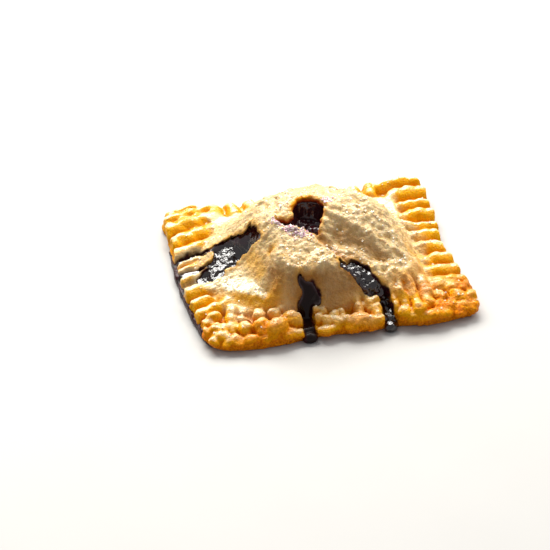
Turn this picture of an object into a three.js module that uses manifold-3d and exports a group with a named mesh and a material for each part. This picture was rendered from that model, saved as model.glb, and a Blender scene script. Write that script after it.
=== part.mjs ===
// A fork-crimped berry hand pie: a flat rectangular turnover of shortcrust pastry.
// Millimetres, +Z up. The pie stands on z = 0 with its long side along X and its front at -Y.

import * as THREE from "three";
import { mergeVertices } from "three/addons/utils/BufferGeometryUtils.js";
import Module from "manifold-3d";

// ---------------------------------------------------------------- driving dimensions

const pieHeight = 30; // table to the top of the dome
const leftReach = 51.5; // middle of the pie to the ends of the ridges, before the bulges
const rightReach = 49.8;
const frontReach = 42;
const backReach = 41.4;
const cornerPower = 16; // how square the corners are; 2 would be an ellipse

const sheetThickness = 2; // each of the two pastry sheets in the pressed rim
const rimThickness = 2 * sheetThickness;
const ridgeTop = 6.6; // table to the top of a ridge between two fork prints
const ridgeRise = 2.9; // height of the rounded back of a ridge
const ridgeBase = 1; // the foot of a ridge is sunk in the rim
const ridgeWidest = 7.3; // pastry squeezed up between the tines of the fork
const ridgeLongest = 16;
const ridgeClimb = 4; // how far a ridge runs up the foot of the dome
const ridgeLift = 1.4; // how much higher its inner end lies
const ridgeSwell = 0.14; // share by which a lumpy ridge widens and narrows
const ridgeSway = 0.5; // how far its middle strays sideways
const ridgeUneven = 0.1; // share by which any stretch of it is fatter or thinner
const ridgeCrownUneven = 0.4; // some ridges are higher than others
const ridgePlumpness = 4.4; // how squarely both ends are rounded
const cornerRounding = 1.6; // ridges next to a corner start further in
const noseOverhang = 1.3; // how far a ridge sticks out past the rim

const domeHalfWidth = 40.8;
const domeHalfDepth = 31.4;
const domeMiddleX = -2; // the berries sit a little to the left
const domeMiddleY = 0;
const domeSquareness = 2.4;
const domeFullness = 0.76; // lower is fuller at the shoulders

const wrinkleRoom = 0.6; // the folds rise this far above the plain dome
const crustThickness = 3; // top sheet where it domes over the berries
const floorThickness = 3; // bottom sheet under the berries
const wallThickness = 4; // pastry between the berries and the rim
const cavityLip = 1.5; // height of the berry layer at its very edge
const fitGap = 0.3; // between the pastry and the berries
const jamRecess = 1.1; // how far the jam lies below the cut edges
const jamRimTop = 5.2; // jam level in the channels across the rim
const cutHeight = 40; // the cuts reach above the dome

// ---------------------------------------------------------------- small helpers

function hump(value, centre, spread) {
  return Math.exp(-(((value - centre) / spread) ** 2));
}

// A repeatable number from -1 to 1 for each pair of whole numbers.
function uneven(index, salt) {
  const wave = Math.sin(index * 12.9898 + salt * 78.233) * 43758.5453;
  return 2 * (wave - Math.floor(wave)) - 1;
}

// Distance from the middle to a rounded square of half-size 1, in the direction of an angle.
function squareRadius(angle, power) {
  const sum = Math.abs(Math.cos(angle)) ** power + Math.abs(Math.sin(angle)) ** power;
  return sum ** (-1 / power);
}

function distanceToSegment(x, y, [startX, startY], [endX, endY]) {
  const runX = endX - startX;
  const runY = endY - startY;
  const dot = (x - startX) * runX + (y - startY) * runY;
  const share = Math.min(1, Math.max(0, dot / (runX ** 2 + runY ** 2)));
  return Math.hypot(x - startX - share * runX, y - startY - share * runY);
}

// Closed skin through a stack of rings that run anticlockwise seen from the last tip.
function loft(rings, firstTip, lastTip) {
  const count = rings[0].length;
  const points = [firstTip, ...rings.flat(), lastTip];
  const last = points.length - 1;
  const faces = [];
  for (let side = 0; side < count; side += 1) {
    const next = (side + 1) % count;
    faces.push(0, 1 + next, 1 + side);
    for (let ring = 0; ring + 1 < rings.length; ring += 1) {
      const low = 1 + ring * count;
      const high = low + count;
      faces.push(low + side, low + next, high + next);
      faces.push(low + side, high + next, high + side);
    }
    const top = 1 + (rings.length - 1) * count;
    faces.push(top + side, top + next, last);
  }
  const geometry = new THREE.BufferGeometry();
  geometry.setAttribute("position", new THREE.Float32BufferAttribute(points.flat(), 3));
  geometry.setIndex(faces);
  return geometry;
}

// ---------------------------------------------------------------- joining and cutting

const wasm = await Module();
wasm.setup();

function toSolid(geometry) {
  geometry.deleteAttribute("normal");
  geometry.deleteAttribute("uv");
  const merged = mergeVertices(geometry, 1e-4);
  return new wasm.Manifold(
    new wasm.Mesh({
      numProp: 3,
      vertProperties: new Float32Array(merged.attributes.position.array),
      triVerts: new Uint32Array(merged.index.array),
    }),
  );
}

function toGeometry(solid) {
  const mesh = solid.getMesh();
  const geometry = new THREE.BufferGeometry();
  geometry.setAttribute("position", new THREE.Float32BufferAttribute(mesh.vertProperties, 3));
  geometry.setIndex(Array.from(mesh.triVerts));
  geometry.computeVertexNormals();
  return geometry;
}

function joinAll(solids) {
  return solids.reduce((joined, solid) => joined.add(solid));
}

// An upright block with the given closed outline, between two heights.
function uprightBlock(outline, bottom, top) {
  const shape = new THREE.Shape(outline.map(([x, y]) => new THREE.Vector2(x, y)));
  const block = new THREE.ExtrudeGeometry(shape, { depth: top - bottom, bevelEnabled: false });
  block.translate(0, 0, bottom);
  return toSolid(block);
}

// ---------------------------------------------------------------- the rim and its edge

// The left edge bulges where jam pushed through; the right edge is drawn in at its middle.
function edgeReach(side, y) {
  if (side < 0) {
    return leftReach + 1.5 * hump(y, -3, 15) - 2.8 * hump(y, -40, 13);
  }
  return rightReach - 2 * hump(y, 0, 14) + hump(y, -36, 12);
}

// The front edge sags outwards at both corners and a little between the two front cuts.
function frontEdge(x) {
  return frontReach + 2 * hump(x, -30, 15) + 1.6 * hump(x, 33, 9) + 0.8 * hump(x, 3, 7);
}

// Closed outline of one rolled sheet, in from the ridge ends by an inset that wanders.
function sheetOutline(inset, salt) {
  const outline = [];
  const pointCount = 72;
  for (let index = 0; index < pointCount; index += 1) {
    const angle = (2 * Math.PI * index) / pointCount;
    const radius = squareRadius(angle, cornerPower);
    const drift = inset + 0.45 * Math.sin(5 * angle + salt) + 0.3 * uneven(index, salt);
    const acrossEdge = backReach * Math.sin(angle) * radius;
    const x = (edgeReach(Math.cos(angle), acrossEdge) - drift) * Math.cos(angle) * radius;
    const yReach = (Math.sin(angle) < 0 ? frontEdge(x) : backReach) - drift;
    const y = yReach * Math.sin(angle) * radius;
    outline.push([x, y]);
  }
  return outline;
}

// A sheet lying flat, its rim leaning in a little towards the top.
function sheetSolid(inset, salt, bottom, top) {
  const outline = sheetOutline(inset, salt);
  const ringAt = (shrink, height) => outline.map(([x, y]) => [x * shrink, y * shrink, height]);
  const middle = (bottom + top) / 2;
  const rings = [ringAt(0.985, bottom), ringAt(1, middle), ringAt(0.99, top)];
  return toSolid(loft(rings, [0, 0, bottom], [0, 0, top]));
}

// ---------------------------------------------------------------- the dome

// Folds in the top sheet: where each one starts and ends, its height and its half-width.
const folds = [
  { from: [4, -11.5], to: [17, -13], rise: 1.5, spread: 2.4 },
  { from: [17, -13], to: [31, -18.5], rise: 1.7, spread: 2.2 },
  { from: [-3, -13], to: [6, -19.5], rise: -1.3, spread: 2.4 },
  { from: [-9, -15], to: [7, -25], rise: 1.2, spread: 3 },
  { from: [-18, -9], to: [-31, -16], rise: 1.4, spread: 3.2 },
  { from: [-27, 4], to: [-17, -1], rise: 1.1, spread: 2.4 },
  { from: [-19, 12], to: [-36, 16], rise: 0.9, spread: 3.5 },
  { from: [12, 6], to: [29, -3], rise: 0.8, spread: 3 },
];

function wrinkle(x, y) {
  let rise = 0.3 * Math.sin(0.42 * x + 0.2 * y) + 0.25 * Math.sin(0.55 * y - 0.18 * x + 1);
  for (const fold of folds) {
    rise += fold.rise * hump(distanceToSegment(x, y, fold.from, fold.to), 0, fold.spread);
  }
  return rise;
}

// Height of the dome at a share from its middle (0) to its foot (1).
function domeHeight(share, foot, top) {
  return foot + (top - foot) * Math.max(0, 1 - share ** 2) ** domeFullness;
}

// A mound from a flat bottom up to its top; finish(x, y) adds the unevenness of its skin.
function moundSolid({ halfWidth, halfDepth, bottom, foot, top, columns, rows, finish }) {
  const ringAt = (share, heightAt) => {
    const ring = [];
    for (let column = 0; column < columns; column += 1) {
      const angle = (2 * Math.PI * column) / columns;
      const reach = share * squareRadius(angle, domeSquareness);
      const x = domeMiddleX + halfWidth * Math.cos(angle) * reach;
      const y = domeMiddleY + halfDepth * Math.sin(angle) * reach;
      ring.push([x, y, heightAt(x, y)]);
    }
    return ring;
  };
  const rings = [ringAt(1, () => bottom), ringAt(1, () => foot)];
  for (let row = 1; row < rows; row += 1) {
    const share = Math.cos((Math.PI * row) / (2 * rows));
    const fade = 1 - share ** 6;
    rings.push(ringAt(share, (x, y) => domeHeight(share, foot, top) + fade * finish(x, y)));
  }
  const tip = [domeMiddleX, domeMiddleY, top + finish(domeMiddleX, domeMiddleY)];
  return toSolid(loft(rings, [domeMiddleX, domeMiddleY, bottom], tip));
}

// ---------------------------------------------------------------- fork ridges

// Where the middle of each ridge meets the edge: y on the short sides, x on the long ones.
const leftRidges = [35.8, 28, 20.6, 13.4, 4.8, -4, -12, -18.8, -25.2, -31.4];
const rightRidges = [37.8, 31.2, 24.4, 17.4, 10.4, 3.6, -3.6, -10.6, -17.6];
const frontRidges = [
  -44, -38.8, -33.8, -29, -24.6, -20.4, -16.4, -7.8, -3.9, 0, 4.4, 8.6, 12.6, 21, 25.4, 30, 34.6,
];
const backRidges = [-30, -23.8, -17.4, -10.8, -4.4, 2.2, 8.6, 15, 21.6, 28];

// How far the fork was turned on each short side, in radians.
const leftLean = 0.34;
const rightLean = 0.05;

// One fat ridge that runs from its nose at the pie's edge towards the dome. Its section is a
// half-ellipse that stands on upright sides, which reach down into the rim.
function ridgeSolid({ nose, heading, length, width, lumps, seed }) {
  const steps = lumps ? 7 : 6;
  const arcSteps = 5;
  const crownChange = ridgeCrownUneven * uneven(seed, 7);
  const placeAt = (along, sideways, height) => {
    const forward = along * length;
    const x = nose[0] + forward * Math.cos(heading) - sideways * Math.sin(heading);
    const y = nose[1] + forward * Math.sin(heading) + sideways * Math.cos(heading);
    return [x, y, height];
  };
  const rings = [];
  for (let step = 1; step < steps; step += 1) {
    const along = (1 - Math.cos((Math.PI * step) / steps)) / 2;
    const wave = ridgeSwell * Math.sin(2 * Math.PI * lumps * along);
    const swell = 1 + ridgeUneven * uneven(seed + step, 3) + wave;
    const half = (width / 2) * roundEnd(along) * swell;
    const sway = ridgeSway * uneven(seed, 5) * Math.sin(Math.PI * along);
    const crown = ridgeRise * roundEnd(along) * (0.5 + 0.5 * swell) + crownChange;
    const climb = ridgeLift * along ** 2;
    const ring = [];
    for (let corner = 0; corner <= arcSteps; corner += 1) {
      const turn = (Math.PI * corner) / arcSteps;
      const height = ridgeTop - ridgeRise + crown * Math.sin(turn) + climb;
      ring.push(placeAt(along, sway + half * Math.cos(turn), height));
    }
    ring.push(placeAt(along, sway - half, ridgeBase), placeAt(along, sway + half, ridgeBase));
    rings.push(ring);
  }
  const tipHeight = ridgeTop - ridgeRise;
  return toSolid(loft(rings, placeAt(0, 0, tipHeight), placeAt(1, 0, tipHeight)));
}

// Plump rounding of both ends of a ridge: 0 at its tips and 1 along its middle.
function roundEnd(along) {
  return (1 - Math.abs(2 * along - 1) ** ridgePlumpness) ** (1 / ridgePlumpness);
}

function ridgeWidth(centres, index) {
  const before = centres[index - 1] ?? centres[index] * 2 - centres[index + 1];
  const after = centres[index + 1] ?? centres[index] * 2 - centres[index - 1];
  const room = Math.abs(after - before) / 2;
  return Math.min(ridgeWidest, room) * (1.02 + 0.07 * uneven(index, centres.length));
}

// Half-size of the dome's foot in one direction, at a distance from its middle in the other.
function footReach(distance, halfAcross, halfAlong) {
  const share = Math.min(0.88, Math.abs(distance / halfAcross));
  return halfAlong * (1 - share ** domeSquareness) ** (1 / domeSquareness);
}

function shortSideRidges(side, centres, tilt) {
  return centres.map((y, index) => {
    const reach = edgeReach(side, y) - 0.5 - 0.5 * uneven(index, 11 + side);
    const cornerCut = cornerRounding * hump(Math.abs(y), backReach, 5);
    const lean = tilt + 0.07 * uneven(index, 13 + side);
    const foot = footReach(y - domeMiddleY, domeHalfDepth, domeHalfWidth) + side * domeMiddleX;
    return ridgeSolid({
      nose: [side * (reach - cornerCut), y],
      heading: side < 0 ? lean : Math.PI - lean,
      length: Math.min(ridgeLongest, reach - foot + ridgeClimb),
      width: ridgeWidth(centres, index),
      lumps: index > 7 ? 2 : 0,
      seed: 20 * index + 7 * side + 100,
    });
  });
}

function longSideRidges(side, centres, lumps) {
  return centres.map((x, index) => {
    const edge = side < 0 ? frontEdge(x) : backReach;
    const cornerCut = cornerRounding * hump(Math.abs(x), rightReach, 6);
    const reach = edge - 0.6 - 0.6 * uneven(index, 17 + side) - cornerCut;
    const foot = footReach(x - domeMiddleX, domeHalfWidth, domeHalfDepth) + side * domeMiddleY;
    return ridgeSolid({
      nose: [x, side * reach],
      heading: (-side * Math.PI) / 2 + 0.06 * uneven(index, 19 + side),
      length: Math.min(ridgeLongest, reach - foot + ridgeClimb),
      width: ridgeWidth(centres, index),
      lumps: lumps ? 2 + (index % 2) : 0,
      seed: 20 * index + 300 + 50 * side,
    });
  });
}

// The front right corner was pressed flat twice: rows of short low lumps instead of ridges.
function cornerLumps() {
  const lumpCount = 3;
  const lumpLength = 6.4;
  const lumpWidth = 5.6;
  const firstY = -24.6;
  const lumps = [];
  for (let row = 0; row < lumpCount; row += 1) {
    for (let column = 0; column < lumpCount; column += 1) {
      const seed = 10 * row + column;
      const y = firstY - 0.96 * lumpWidth * row + uneven(seed, 23);
      lumps.push(
        ridgeSolid({
          nose: [edgeReach(1, y) - 0.72 * lumpLength * column - 0.8, y],
          heading: Math.PI + 0.5 * uneven(seed, 29),
          length: lumpLength,
          width: lumpWidth + uneven(seed, 31),
          lumps: 0,
          seed,
        }),
      );
    }
  }
  return lumps;
}

// ---------------------------------------------------------------- cuts in the top sheet

// The round hole near the top, closed through a few points of its torn edge.
const topHole = [
  [-16, -6.6], [-12.4, -3.2], [-8.6, 2], [-5, 3.8], [-1, 1.6], [0.8, -2.6], [-1.6, -8.2],
  [-5, -11.4], [-9.6, -10.8],
];

// The ragged tear on the left, over which the jam boiled up.
const leftTear = [
  [-20.6, -4.6], [-22.6, 0.6], [-27, 1.8], [-31, 4.4], [-35.6, 9.6], [-40.4, 10.8], [-43, 3],
  [-43.2, -6.2], [-38.6, -10.6], [-31.6, -11.2], [-24.4, -8.6],
];

// Runs that widen and narrow: points of the middle line, each with the width there.
const frontRun = [
  { at: [-10.6, -22.4], width: 2 },
  { at: [-10.4, -25.6], width: 4.8 },
  { at: [-9.6, -29], width: 7 },
  { at: [-11.6, -33.5], width: 4.4 },
  { at: [-12, -48], width: 4.2 },
];
const rightRun = [
  { at: [2, -19.4], width: 2 },
  { at: [7.6, -23.6], width: 4.2 },
  { at: [12.8, -27.4], width: 4.8 },
  { at: [16.6, -31.5], width: 3.6 },
  { at: [16.8, -48], width: 3.6 },
];
const tearRuns = [
  [{ at: [-38, 10.2], width: 3 }, { at: [-46, 9.8], width: 2.6 }, { at: [-58, 7.4], width: 2.6 }],
  [{ at: [-38, 1.6], width: 3 }, { at: [-46, 1.4], width: 2.6 }, { at: [-58, -1.4], width: 2.6 }],
  [{ at: [-38, -6], width: 3 }, { at: [-46, -6.6], width: 2.6 }, { at: [-58, -10], width: 2.6 }],
];

function smoothClosed(points, count) {
  const corners = points.map(([x, y]) => new THREE.Vector3(x, y, 0));
  const curve = new THREE.CatmullRomCurve3(corners, true, "centripetal");
  return curve.getPoints(count).slice(0, count).map(({ x, y }) => [x, y]);
}

// Both banks of a run; the third coordinate of its middle curve carries the width.
function runOutline(stations, margin) {
  const knots = stations.map(({ at: [x, y], width }) => new THREE.Vector3(x, y, width));
  const middle = new THREE.CatmullRomCurve3(knots, false, "centripetal");
  const steps = 3 * (stations.length - 1);
  const left = [];
  const right = [];
  for (let step = 0; step <= steps; step += 1) {
    const { x, y, z: width } = middle.getPoint(step / steps);
    const along = middle.getTangent(step / steps);
    const offset = (width / 2 - margin) / Math.hypot(along.x, along.y);
    left.unshift([x - along.y * offset, y + along.x * offset]);
    right.push([x + along.y * offset, y - along.x * offset]);
  }
  return [...right, ...left];
}

// The outline moved inwards by a margin, along the normal at each point.
function insetOutline(outline, margin) {
  const turn = Math.sign(THREE.ShapeUtils.area(outline.map(([x, y]) => ({ x, y }))));
  return outline.map(([x, y], index) => {
    const [beforeX, beforeY] = outline.at(index - 1);
    const [afterX, afterY] = outline[(index + 1) % outline.length];
    const length = Math.hypot(afterX - beforeX, afterY - beforeY);
    const inX = (-turn * (afterY - beforeY)) / length;
    const inY = (turn * (afterX - beforeX)) / length;
    return [x + margin * inX, y + margin * inY];
  });
}

// Every cut that jam fills, each narrowed by a margin on both sides.
function jamCuts(margin, bottom) {
  const outlines = [
    insetOutline(smoothClosed(leftTear, 30), margin),
    runOutline(frontRun, margin),
    runOutline(rightRun, margin),
    ...tearRuns.map((run) => runOutline(run, margin)),
  ];
  return joinAll(outlines.map((outline) => uprightBlock(outline, bottom, cutHeight)));
}

// The pastry curls up in a fat lip round the back half of the top hole.
function holeLip() {
  const lipRadius = 1.5;
  const lipSunk = 1.4;
  const lip = smoothClosed(topHole, 24).slice(3, 16).map(([x, y]) => {
    const share = Math.hypot((x - domeMiddleX) / domeHalfWidth, (y - domeMiddleY) / domeHalfDepth);
    return new THREE.Vector3(x, y, domeHeight(share, rimThickness, pieHeight - lipSunk));
  });
  const path = new THREE.CatmullRomCurve3(lip);
  const section = new THREE.Shape();
  section.absarc(0, 0, lipRadius, 0, 2 * Math.PI);
  const options = { extrudePath: path, steps: 14, curveSegments: 4, bevelEnabled: false };
  return toSolid(new THREE.ExtrudeGeometry(section, options));
}

// ---------------------------------------------------------------- the two sub-parts

// The berry layer's own mound, smaller than the crust's by the wall and crust thicknesses.
function berryMound(margin) {
  return moundSolid({
    halfWidth: domeHalfWidth - wallThickness - margin,
    halfDepth: domeHalfDepth - wallThickness - margin,
    bottom: floorThickness + margin,
    foot: floorThickness + cavityLip,
    top: pieHeight - crustThickness - margin,
    columns: 44,
    rows: 8,
    finish: () => 0,
  });
}

function crustSolid() {
  const dome = moundSolid({
    halfWidth: domeHalfWidth,
    halfDepth: domeHalfDepth,
    bottom: sheetThickness / 2,
    foot: rimThickness,
    top: pieHeight - wrinkleRoom,
    columns: 60,
    rows: 12,
    finish: wrinkle,
  });
  const outside = joinAll([
    sheetSolid(0.9, 1, 0, sheetThickness),
    sheetSolid(noseOverhang, 4, sheetThickness - 0.2, rimThickness),
    dome,
    holeLip(),
    ...shortSideRidges(-1, leftRidges, leftLean),
    ...shortSideRidges(1, rightRidges, rightLean),
    ...longSideRidges(-1, frontRidges, true),
    ...longSideRidges(1, backRidges, false),
    ...cornerLumps(),
  ]);
  return outside
    .subtract(berryMound(0))
    .subtract(uprightBlock(smoothClosed(topHole, 26), pieHeight / 3, cutHeight))
    .subtract(jamCuts(0, floorThickness));
}

// Jam stands in the cuts a little below the pastry, and level across the rim.
function berrySolid() {
  const jamSurface = moundSolid({
    halfWidth: domeHalfWidth - jamRecess,
    halfDepth: domeHalfDepth - jamRecess,
    bottom: floorThickness + fitGap,
    foot: jamRimTop,
    top: pieHeight - jamRecess,
    columns: 56,
    rows: 12,
    finish: (x, y) => 0.4 * Math.sin(1.1 * x + 0.5 * y) + 0.35 * Math.sin(1.3 * y - 0.4 * x),
  });
  const rimJam = uprightBlock(sheetOutline(1.6, 4), floorThickness + fitGap, jamRimTop);
  const inCuts = jamCuts(fitGap, floorThickness + fitGap).intersect(jamSurface.add(rimJam));
  return berryMound(fitGap).add(inCuts);
}

// ---------------------------------------------------------------- the scene graph

const pastry = new THREE.MeshStandardMaterial({ color: "#e9bd68", roughness: 0.55, metalness: 0 });
const jam = new THREE.MeshStandardMaterial({ color: "#240c18", roughness: 0.15, metalness: 0 });

const crust = new THREE.Mesh(toGeometry(crustSolid()), pastry);
crust.name = "crust";
const filling = new THREE.Mesh(toGeometry(berrySolid()), jam);
filling.name = "berry_filling";

const pie = new THREE.Group();
pie.add(crust, filling);

// The origin is the middle of the pie's own box, on the table.
const box = new THREE.Box3().setFromObject(pie);
const middle = box.getCenter(new THREE.Vector3());
for (const piece of pie.children) {
  piece.position.set(-middle.x, -middle.y, 0);
}

export default pie;
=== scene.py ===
# %% [markdown]
# # A fork-crimped berry hand pie
#
# The pie is a flat rectangular turnover of shortcrust pastry. Two rolled sheets are pressed
# together with a fork all round, the top sheet domes over a spoonful of berries, and the juice
# has boiled out through a hole, a tear and two cuts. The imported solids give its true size; this
# script makes the baked surface that the eye sees.

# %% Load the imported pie
import itertools
import math

import bpy
import numpy as np
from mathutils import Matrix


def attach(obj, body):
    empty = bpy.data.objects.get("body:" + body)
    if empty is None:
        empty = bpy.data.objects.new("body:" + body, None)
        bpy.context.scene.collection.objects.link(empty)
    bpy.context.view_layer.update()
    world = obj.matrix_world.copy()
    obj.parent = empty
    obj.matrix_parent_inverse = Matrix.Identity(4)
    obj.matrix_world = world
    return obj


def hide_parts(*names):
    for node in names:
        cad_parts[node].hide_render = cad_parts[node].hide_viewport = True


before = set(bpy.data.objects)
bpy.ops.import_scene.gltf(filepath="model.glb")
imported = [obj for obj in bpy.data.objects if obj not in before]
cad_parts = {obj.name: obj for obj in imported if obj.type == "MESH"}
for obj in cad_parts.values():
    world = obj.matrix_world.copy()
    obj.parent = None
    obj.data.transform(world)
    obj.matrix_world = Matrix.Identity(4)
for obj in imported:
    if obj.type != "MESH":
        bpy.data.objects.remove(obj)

import openvdb
from mathutils import Vector

MM = 0.001
bpy.context.view_layer.update()

# %% [markdown]
# ## The camera
#
# A long lens about a metre away, a little to the left of the pie and well above it. The lens is
# worked out from how many pixels a radian covers, and the camera is turned slightly so that the
# pie sits right of the middle, instead of shifting the lens.

# %% The camera
IMAGE_PIXELS = 550
SENSOR_MM = 36.0
FOCAL_PIXELS = 2766.5
VIEW_AZIMUTH = math.radians(-13.53)
VIEW_ELEVATION = math.radians(36.41)
VIEW_DISTANCE_MM = 1004.5
LOOK_POINT_MM = Vector((1.1, 0.0, 4.0))
LOOK_PIXEL = (317.0, 257.3)


def place_camera():
    towards = Vector((
        math.sin(VIEW_AZIMUTH) * math.cos(VIEW_ELEVATION),
        -math.cos(VIEW_AZIMUTH) * math.cos(VIEW_ELEVATION),
        math.sin(VIEW_ELEVATION),
    ))
    right = Vector((math.cos(VIEW_AZIMUTH), math.sin(VIEW_AZIMUTH), 0))
    up = towards.cross(right)
    mm_per_pixel = VIEW_DISTANCE_MM / FOCAL_PIXELS
    across = (IMAGE_PIXELS / 2 - LOOK_PIXEL[0]) * mm_per_pixel
    above = (LOOK_PIXEL[1] - IMAGE_PIXELS / 2) * mm_per_pixel
    aim = LOOK_POINT_MM + right * across + up * above
    data = bpy.data.cameras.new("camera")
    data.sensor_width = SENSOR_MM
    data.lens = SENSOR_MM * FOCAL_PIXELS / IMAGE_PIXELS
    camera = bpy.data.objects.new("camera", data)
    camera.location = (LOOK_POINT_MM + towards * VIEW_DISTANCE_MM) * MM
    heading = aim * MM - camera.location
    camera.rotation_euler = heading.to_track_quat("-Z", "Y").to_euler()
    bpy.context.scene.collection.objects.link(camera)
    bpy.context.scene.camera = camera
    return camera


camera = place_camera()
print("lens in mm:", round(camera.data.lens, 1))

# %% [markdown]
# ## Colour and nodes
#
# Colours are written as sRGB hex values, as a painter would pick them, and one function turns
# them into the linear values that the shaders need. A second function adds a shader node and
# fills its inputs in one call, with plain values or with what other nodes give out.

# %% Colour and node helpers
def to_linear(hex_colour):
    channels = [int(hex_colour[i:i + 2], 16) / 255 for i in (1, 3, 5)]
    linear = [c / 12.92 if c <= 0.04045 else ((c + 0.055) / 1.055) ** 2.4 for c in channels]
    return (*linear, 1.0)


def fill_inputs(tree, node, inputs):
    """Fills inputs by name; each is a plain value or another node's output socket."""
    for name, value in inputs.items():
        if isinstance(value, bpy.types.NodeSocket):
            tree.links.new(value, node.inputs[name])
        else:
            node.inputs[name].default_value = value


def add_node(tree, kind, settings=None, inputs=None):
    node = tree.nodes.new(kind)
    for name, value in (settings or {}).items():
        setattr(node, name, value)
    fill_inputs(tree, node, inputs or {})
    return node


print("middle grey in linear light:", round(to_linear("#808080")[0], 3))

# %% [markdown]
# ## Smooth random bumps
#
# Baked food is uneven at every size: berries push the dough up in lumps of a centimetre, the
# skin blisters at a millimetre. One noise function serves them all. It looks up random numbers
# on a lattice, blends them smoothly between the lattice points, and takes its cell size in
# millimetres. The lattice is turned by a different angle for each seed, so no direction shows.

# %% Noise
NOISE_PERIOD = 64
NOISE_SHIFT = 17.3  # keeps the drawing's zero off the lattice points


def bumps(points, cell, seed):
    """Smooth noise from -1 to 1 at points (..., 2 or 3) in mm, with bumps about one cell wide."""
    dimensions = points.shape[-1]
    random = np.random.default_rng(seed)
    table = random.uniform(-1, 1, (NOISE_PERIOD,) * dimensions).astype(np.float32)
    turn = random.uniform(0, 2 * math.pi)
    scaled = points / cell + NOISE_SHIFT
    first = scaled[..., 0] * math.cos(turn) - scaled[..., 1] * math.sin(turn)
    second = scaled[..., 0] * math.sin(turn) + scaled[..., 1] * math.cos(turn)
    scaled[..., 0] = first
    scaled[..., 1] = second
    corner = np.floor(scaled).astype(np.int32)
    share = scaled - corner
    share = share * share * (3 - 2 * share)
    total = np.zeros(points.shape[:-1])
    for offset in itertools.product((0, 1), repeat=dimensions):
        weight = np.ones(points.shape[:-1])
        for axis, step in enumerate(offset):
            weight = weight * (share[..., axis] if step else 1 - share[..., axis])
        index = (corner + np.array(offset)) % NOISE_PERIOD
        total += weight * table[tuple(np.moveaxis(index, -1, 0))]
    return total


def layered_bumps(points, layers):
    """Bumps of several sizes; each layer is a height and a cell in mm, and a seed."""
    return sum(height * bumps(points, cell, seed) for height, cell, seed in layers)


print("noise at three places:", bumps(np.array([(0, 0), (2, 0), (4, 0)]), cell=5, seed=1).round(2))

# %% [markdown]
# ## Humps, steps and fillets
#
# Nearly every shape and tone below is made of three curves: a hump that fades on both sides, a
# step that leads smoothly from 0 to 1, and a minimum with a fillet, which melts two shapes into
# one. Where the dough needs a little chance that is the same every time, a number is worked out
# from two others.

# %% Humps, steps and fillets
def hump(value, centre, spread):
    """1 at the centre, about a third one spread away from it, 0 far off."""
    return np.exp(-(((value - centre) / spread) ** 2))


def step_between(value, start, end):
    """0 before start, 1 after end, smooth between."""
    share = np.clip((value - start) / (end - start), 0, 1)
    return share * share * (3 - 2 * share)


def soft_min(first, second, blend):
    """The smaller of two distances, with a fillet about one blend wide where they meet."""
    share = np.clip(0.5 + 0.5 * (second - first) / blend, 0, 1)
    return second + (first - second) * share - blend * share * (1 - share)


def soft_max(first, second, blend):
    return -soft_min(-first, -second, blend)


INDEX_STEP = 12.9898
SALT_STEP = 78.233
WAVE_HEIGHT = 43758.5453  # so high that only the digits behind the point count


def uneven(index, salt):
    """A number from -1 to 1 that is the same each time for the same two numbers."""
    wave = math.sin(index * INDEX_STEP + salt * SALT_STEP) * WAVE_HEIGHT
    return 2 * (wave - math.floor(wave)) - 1


print("two equal distances joined with a fillet of 1:", float(soft_min(0.0, 0.0, 1.0)))

# %% [markdown]
# ## How the pie is modelled
#
# Dough has no edges: every ridge melts into its neighbour, and a torn lip is round. Such a form
# could be sculpted from a subdivided mesh, but blending a hundred soft shapes is easier with
# distances. A grid of little cells covers the pie, and each cell stores how far it lies from
# the pastry, negative inside. Shapes join by taking the smaller distance, with a fillet, and
# are cut by taking the larger. At the end the surface where the distance is zero is turned
# into a mesh. The drawing's zero lies a millimetre from the middle of the pie's box.

# %% The grid of distances
CELL = 0.45
MIDDLE = np.array([1.09, -0.04, 0.0])  # the box's middle as seen from the drawing's own zero
GRID_LOW = np.array([-56.5, -49.0, -1.8])
GRID_HIGH = np.array([55.5, 46.0, 33.5])

axis_x = np.arange(GRID_LOW[0], GRID_HIGH[0], CELL)
axis_y = np.arange(GRID_LOW[1], GRID_HIGH[1], CELL)
axis_z = np.arange(GRID_LOW[2], GRID_HIGH[2], CELL)
flat_x, flat_y = np.meshgrid(axis_x, axis_y, indexing="ij")
flat_points = np.stack([flat_x, flat_y], axis=-1)
heights = axis_z[None, None, :]
print("grid cells:", len(axis_x), "x", len(axis_y), "x", len(axis_z))

# %% [markdown]
# ## The two rolled sheets
#
# The rim is two sheets of dough, each 2 mm thick. Their outline is a rounded rectangle that
# bulges where jam pushed through and is drawn in elsewhere. Each sheet gets its own slightly
# different outline, so a seam shows between them all round, as in a real pie. Such a side could
# be a list of points, but a few bulges with a little drift say the same in fewer numbers.

# %% The outlines
SHEET = 2.0
LEFT_REACH = 51.5
RIGHT_REACH = 49.8
FRONT_REACH = 42.0
BACK_REACH = 41.4
CORNER_POWER = 16  # the higher, the squarer the corners
# Bulges of a side in mm: how far out, where along the side, and half the width.
LEFT_BULGES = [(1.5, -3, 15), (-2.8, -40, 13)]
RIGHT_BULGES = [(-2, 0, 14), (1, -36, 12)]
FRONT_BULGES = [(2, -30, 15), (1.6, 33, 9), (0.8, 3, 7)]
BOTTOM_INSET = 0.9
TOP_INSET = 1.5
WIDE_DRIFT = (0.5, 9)  # how far the edge wanders, and over what length
NARROW_DRIFT = (0.4, 2.5)


def bulged(reach, bulges, along):
    return reach + sum(out * hump(along, middle, width) for out, middle, width in bulges)


def side_reach(side, y):
    if side < 0:
        return bulged(LEFT_REACH, LEFT_BULGES, y)
    return bulged(RIGHT_REACH, RIGHT_BULGES, y)


def front_edge(x):
    return bulged(FRONT_REACH, FRONT_BULGES, x)


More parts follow.
